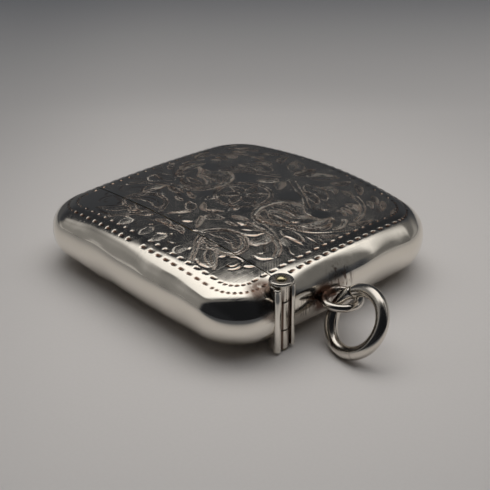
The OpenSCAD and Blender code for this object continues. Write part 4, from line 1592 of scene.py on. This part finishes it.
@dataclass(frozen=True)
class PhotoCamera:
    """The camera, by its angles about the middle of the case and where that middle falls in the picture."""

    azimuth: float = 47.5
    elevation: float = 26.5
    roll: float = -0.44
    distance: float = 139.34
    target_z: float = 5.0
    focal_px: float = 986.3
    middle_px: tuple[float, float] = (242.2, 227.1)
    sensor: float = 36.0
    clip: tuple[float, float] = (0.005, 10.0)

    def axes(self) -> tuple[Array, Array, Array]:
        """Right, up and back of the camera as unit vectors."""
        az, el, roll = (math.radians(a) for a in (self.azimuth, self.elevation, self.roll))
        back = np.array([math.sin(az) * math.cos(el), -math.cos(az) * math.cos(el), math.sin(el)])
        level = np.array([math.cos(az), math.sin(az), 0])
        rise = np.cross(back, level)
        right = level * math.cos(roll) + rise * math.sin(roll)
        return right, np.cross(back, right), back

    def build(self) -> None:
        """Puts the camera in the scene and makes it the one in use."""
        right, up, back = self.axes()
        data = bpy.data.cameras.new("photo_camera")
        data.sensor_width = self.sensor
        data.lens = self.focal_px * self.sensor / PICTURE_SIDE
        data.shift_x = 0.5 - self.middle_px[0] / PICTURE_SIDE
        data.shift_y = self.middle_px[1] / PICTURE_SIDE - 0.5
        data.clip_start, data.clip_end = self.clip
        camera = bpy.data.objects.new("photo_camera", data)
        place = (np.array([0, 0, self.target_z]) + back * self.distance) * MM
        rows = np.column_stack([right, up, back, place]).tolist()
        camera.matrix_world = Matrix([*rows, [0, 0, 0, 1]])
        bpy.context.scene.collection.objects.link(camera)
        bpy.context.scene.camera = camera


@dataclass(frozen=True)
class Studio:
    """A pale table under one wide soft light that hangs over and behind the case.

    The panel's ramps run over the ceiling, whose height is 1, and the floor's over the table in metres.
    """

    camera: PhotoCamera
    panel: float = 1.2
    panel_reach: float = 1.5
    front_right: Ramp = Ramp(0.3, 0.65, 0.03, 0.3)
    front_left: Ramp = Ramp(-1.15, -0.75, 0.27, 0.08)
    front_ends: Ramp = Ramp(0.8, 2.2, 0, 0.27, smooth=False)
    front_edge: Ramp = Ramp(-0.03, 0.13)
    rear_middle: Ramp = Ramp(0, 0.95, 1.165, 0.6, smooth=False)
    rear_ends: Ramp = Ramp(0.95, 3.0, 0, -0.27, smooth=False)
    rear_edge: Ramp = Ramp(-0.06, 0.05, 1, 0)
    dip_in: Ramp = Ramp(0, 0.5, 0, -0.28, smooth=False)
    dip_out: Ramp = Ramp(0.5, 0.9, 0, 0.28, smooth=False)
    left_shift: Ramp = Ramp(-1.1, -0.55, 0.13, 0)
    left_soft: Ramp = Ramp(-1.3, -0.6, 0.28, 1)
    right_soft: Ramp = Ramp(0.75, 1.1, 0, -0.7)
    middle_crisp: Ramp = Ramp(0.1, 0.3, 2.5, 0)
    left_fade: Ramp = Ramp(-1.6, -0.9, 0.25, 1)
    lowest_lift: float = 0.02
    upright_slack: float = 0.0001
    side_glow: float = 0.17
    back_glow: float = 0.03
    front_glow: float = 0.013
    glow_front: Ramp = Ramp(-0.2, 0.0)
    glow_back: Ramp = Ramp(0.15, 0.5)
    right_turn: Ramp = Ramp(-0.3, 0.3, 0, 0.36)
    low_back: Ramp = Ramp(1.2, 2.6, 0.75, 1.5)
    left_glow: Ramp = Ramp(-1.6, -0.3, 1.6, 1)
    lit: Ramp = Ramp(0.03, 0.12)
    shade_colour: Colour = (0.9, 0.97, 1.12)
    panel_colour: Colour = (1.0, 0.98, 0.95)
    floor_colour: Colour = (0.78, 0.747, 0.722)
    floor_shade_colour: Colour = (0.068, 0.08, 0.1)
    floor_half: float = 3000.0
    floor_back_falloff: Ramp = Ramp(0.06, 0.195, smooth=False)
    floor_left_shadow: Ramp = Ramp(0.018, 0.06, 0, 0.24)
    floor_round_falloff: Ramp = Ramp(0.028, 0.085, 0, 0.3)
    floor_front_mirrored_shade: Ramp = Ramp(-0.051, -0.032, 0.9, 0)
    floor_rough: float = 0.6
    floor_shine: float = 0.3
    grain: Noise = Noise(2500)
    grain_steps: Ramp = Ramp(0.3, 0.7, 0, 0.04)
    grain_colour: Colour = (0.5, 0.48, 0.46)
    lamp_size: float = 0.85
    lamp_power: float = 1.75
    lamp_away: float = 0.13
    lamp_right: float = 0.14
    lamp_height: float = 0.55

    def build(self) -> None:
        """Makes the light and the table, and sets how the picture shows colour."""
        self.build_world()
        self.build_floor()
        self.build_lamp()
        bpy.context.scene.view_settings.view_transform = "Standard"

    def away(self) -> tuple[Array, Array]:
        """Level directions away from the camera and to its right."""
        az = math.radians(self.camera.azimuth)
        return np.array([-math.sin(az), math.cos(az), 0]), np.array([math.cos(az), math.sin(az), 0])

    def panel_strip(self, bench: NodeBench, on_back: Socket, along: Socket) -> Socket:
        """Share of the panel's light at a place on the ceiling.

        The panel is a strip from just past overhead towards the back, which bends forward to both sides and
        fades there as 1 / (1 + square of the way out).

        Args:
            bench: The world's nodes.
            on_back: How far the place lies behind the case.
            along: How far it lies to the right.

        Returns:
            The share.
        """
        on_side = bench.math("ABSOLUTE", along)
        bend = bench.total(bench.ramp(along, self.front_right), bench.ramp(along, self.front_left))
        front = bench.math("SUBTRACT", bend, bench.ramp(on_side, self.front_ends))
        rear = bench.total(bench.ramp(on_side, self.rear_middle), bench.ramp(on_side, self.rear_ends))
        dip = bench.total(bench.ramp(along, self.dip_in), bench.ramp(along, self.dip_out))
        on_panel = bench.math("SUBTRACT", on_back, bench.ramp(along, self.left_shift))
        crisp = bench.total(bench.ramp(along, self.left_soft), bench.ramp(along, self.right_soft),
                            bench.ramp(on_side, self.middle_crisp))
        past_front = bench.math("SUBTRACT", on_panel, front)
        past_rear = bench.times(bench.math("SUBTRACT", on_panel, bench.total(rear, dip)), crisp)
        share = bench.times(bench.ramp(past_front, self.front_edge), bench.ramp(past_rear, self.rear_edge))
        way_out = bench.math("POWER", bench.math("DIVIDE", on_side, self.panel_reach), 2.0)
        faded = bench.math("DIVIDE", share, bench.total(way_out, 1.0))
        return bench.times(faded, bench.ramp(along, self.left_fade))

    def build_world(self) -> None:
        """Makes the light by direction.

        A direction is carried onto a level ceiling of height 1, where the panel hangs. Below it the room
        glows by compass direction: most at the sides, further round on the right than on the left, less
        behind and hardly at all in front.
        """
        world = bpy.data.worlds.new("soft_studio")
        world.use_nodes = True
        bench = NodeBench(world.node_tree)
        ray = bench.add("ShaderNodeTexCoord").outputs["Generated"]
        back, side = (bench.vector("DOT_PRODUCT", ray, tuple(way)) for way in self.away())
        rise = bench.add("ShaderNodeSeparateXYZ", Vector=ray).outputs["Z"]
        lift = bench.most(rise, self.lowest_lift)
        along, on_back = bench.math("DIVIDE", side, lift), bench.math("DIVIDE", back, lift)
        level_square = bench.math("SUBTRACT", 1 + self.upright_slack, bench.math("POWER", rise, 2.0))
        compass = bench.math("DIVIDE", back, bench.math("SQRT", level_square))
        turned_back = bench.math("SUBTRACT", compass, bench.ramp(along, self.right_turn))
        glow_front = replace(self.glow_front, start=self.front_glow, end=self.side_glow)
        glow_back = replace(self.glow_back, start=1, end=self.back_glow / self.side_glow)
        glow = bench.times(bench.ramp(compass, glow_front), bench.ramp(turned_back, glow_back),
                           bench.ramp(on_back, self.low_back), bench.ramp(along, self.left_glow))
        level = bench.total(glow, bench.times(self.panel_strip(bench, on_back, along), self.panel))
        colour = bench.blend(bench.ramp(level, self.lit), self.shade_colour, self.panel_colour)
        sky = bench.add("ShaderNodeBackground", Color=colour, Strength=level)
        bench.add("ShaderNodeOutputWorld", Surface=sky.outputs[0])
        bpy.context.scene.world = world

    def build_floor(self) -> None:
        """Makes the table: level, pale and fine-grained, with painted shade that darkens it away from the
        case.

        The painted shade is darkest behind the case, and to its left as a painted shadow. For mirrored rays
        alone it is also painted dark where it passes under the camera, so that silver shows it as if the
        table ended there.
        """
        material = bpy.data.materials.new("pale_table")
        material.use_nodes = True
        bench = NodeBench(material.node_tree)
        place = bench.add("ShaderNodeTexCoord").outputs["Object"]
        away, right = self.away()
        far, left = (bench.vector("DOT_PRODUCT", place, tuple(way)) for way in (away, -right))
        reach = bench.vector("LENGTH", place)
        mirrored = bench.add("ShaderNodeLightPath").outputs["Is Glossy Ray"]
        # Painted shade: the colour darkens behind, to the left, away from the middle, and in front for
        # mirrored rays.
        tone = bench.blend(bench.ramp(far, self.floor_back_falloff), self.floor_colour, self.floor_shade_colour)
        for share in (bench.ramp(left, self.floor_left_shadow), bench.ramp(reach, self.floor_round_falloff),
                      bench.times(mirrored, bench.ramp(far, self.floor_front_mirrored_shade))):
            tone = bench.blend(share, tone, self.floor_shade_colour)
        tone = bench.blend(bench.mark(place, self.grain, self.grain_steps), tone, self.grain_colour)
        shader = bench.add("ShaderNodeBsdfPrincipled", Base_Color=tone, Roughness=self.floor_rough,
                           Specular_IOR_Level=self.floor_shine)
        bench.add("ShaderNodeOutputMaterial", Surface=shader.outputs[0])
        half = self.floor_half
        points = np.array([(-half, -half, 0), (half, -half, 0), (half, half, 0), (-half, half, 0)])
        table = add_piece("table", points, [(0, 1, 2, 3)], [material])

    def build_lamp(self) -> None:
        """Hangs a soft lamp over the case, which only lights the table and the shadow on it."""
        away, right = self.away()
        data = bpy.data.lights.new("overhead_panel", "AREA")
        data.shape, data.size, data.energy = "DISK", self.lamp_size, self.lamp_power
        lamp = bpy.data.objects.new("overhead_panel", data)
        above = np.array([0, 0, self.lamp_height])
        lamp.location = tuple(away * self.lamp_away + right * self.lamp_right + above)
        lamp.visible_glossy = False
        bpy.context.scene.collection.objects.link(lamp)


def main() -> None:
    """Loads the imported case, dresses it piece by piece and sets up the picture."""
    logging.basicConfig(level=logging.INFO, format="%(name)s: %(message)s")
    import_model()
    camera = PhotoCamera()
    camera.build()
    finishes = Finishes()
    finishes.build()
    form = CaseForm()
    engraver = Engraver(form)
    for half in Half:
        for face in Face:
            PressedShell(form, engraver, half, face).build(finishes)
    HingeWork(form).build(finishes)
    CaseFittings(form).build(finishes)
    Studio(camera).build()


if __name__ == "__main__":
    main()
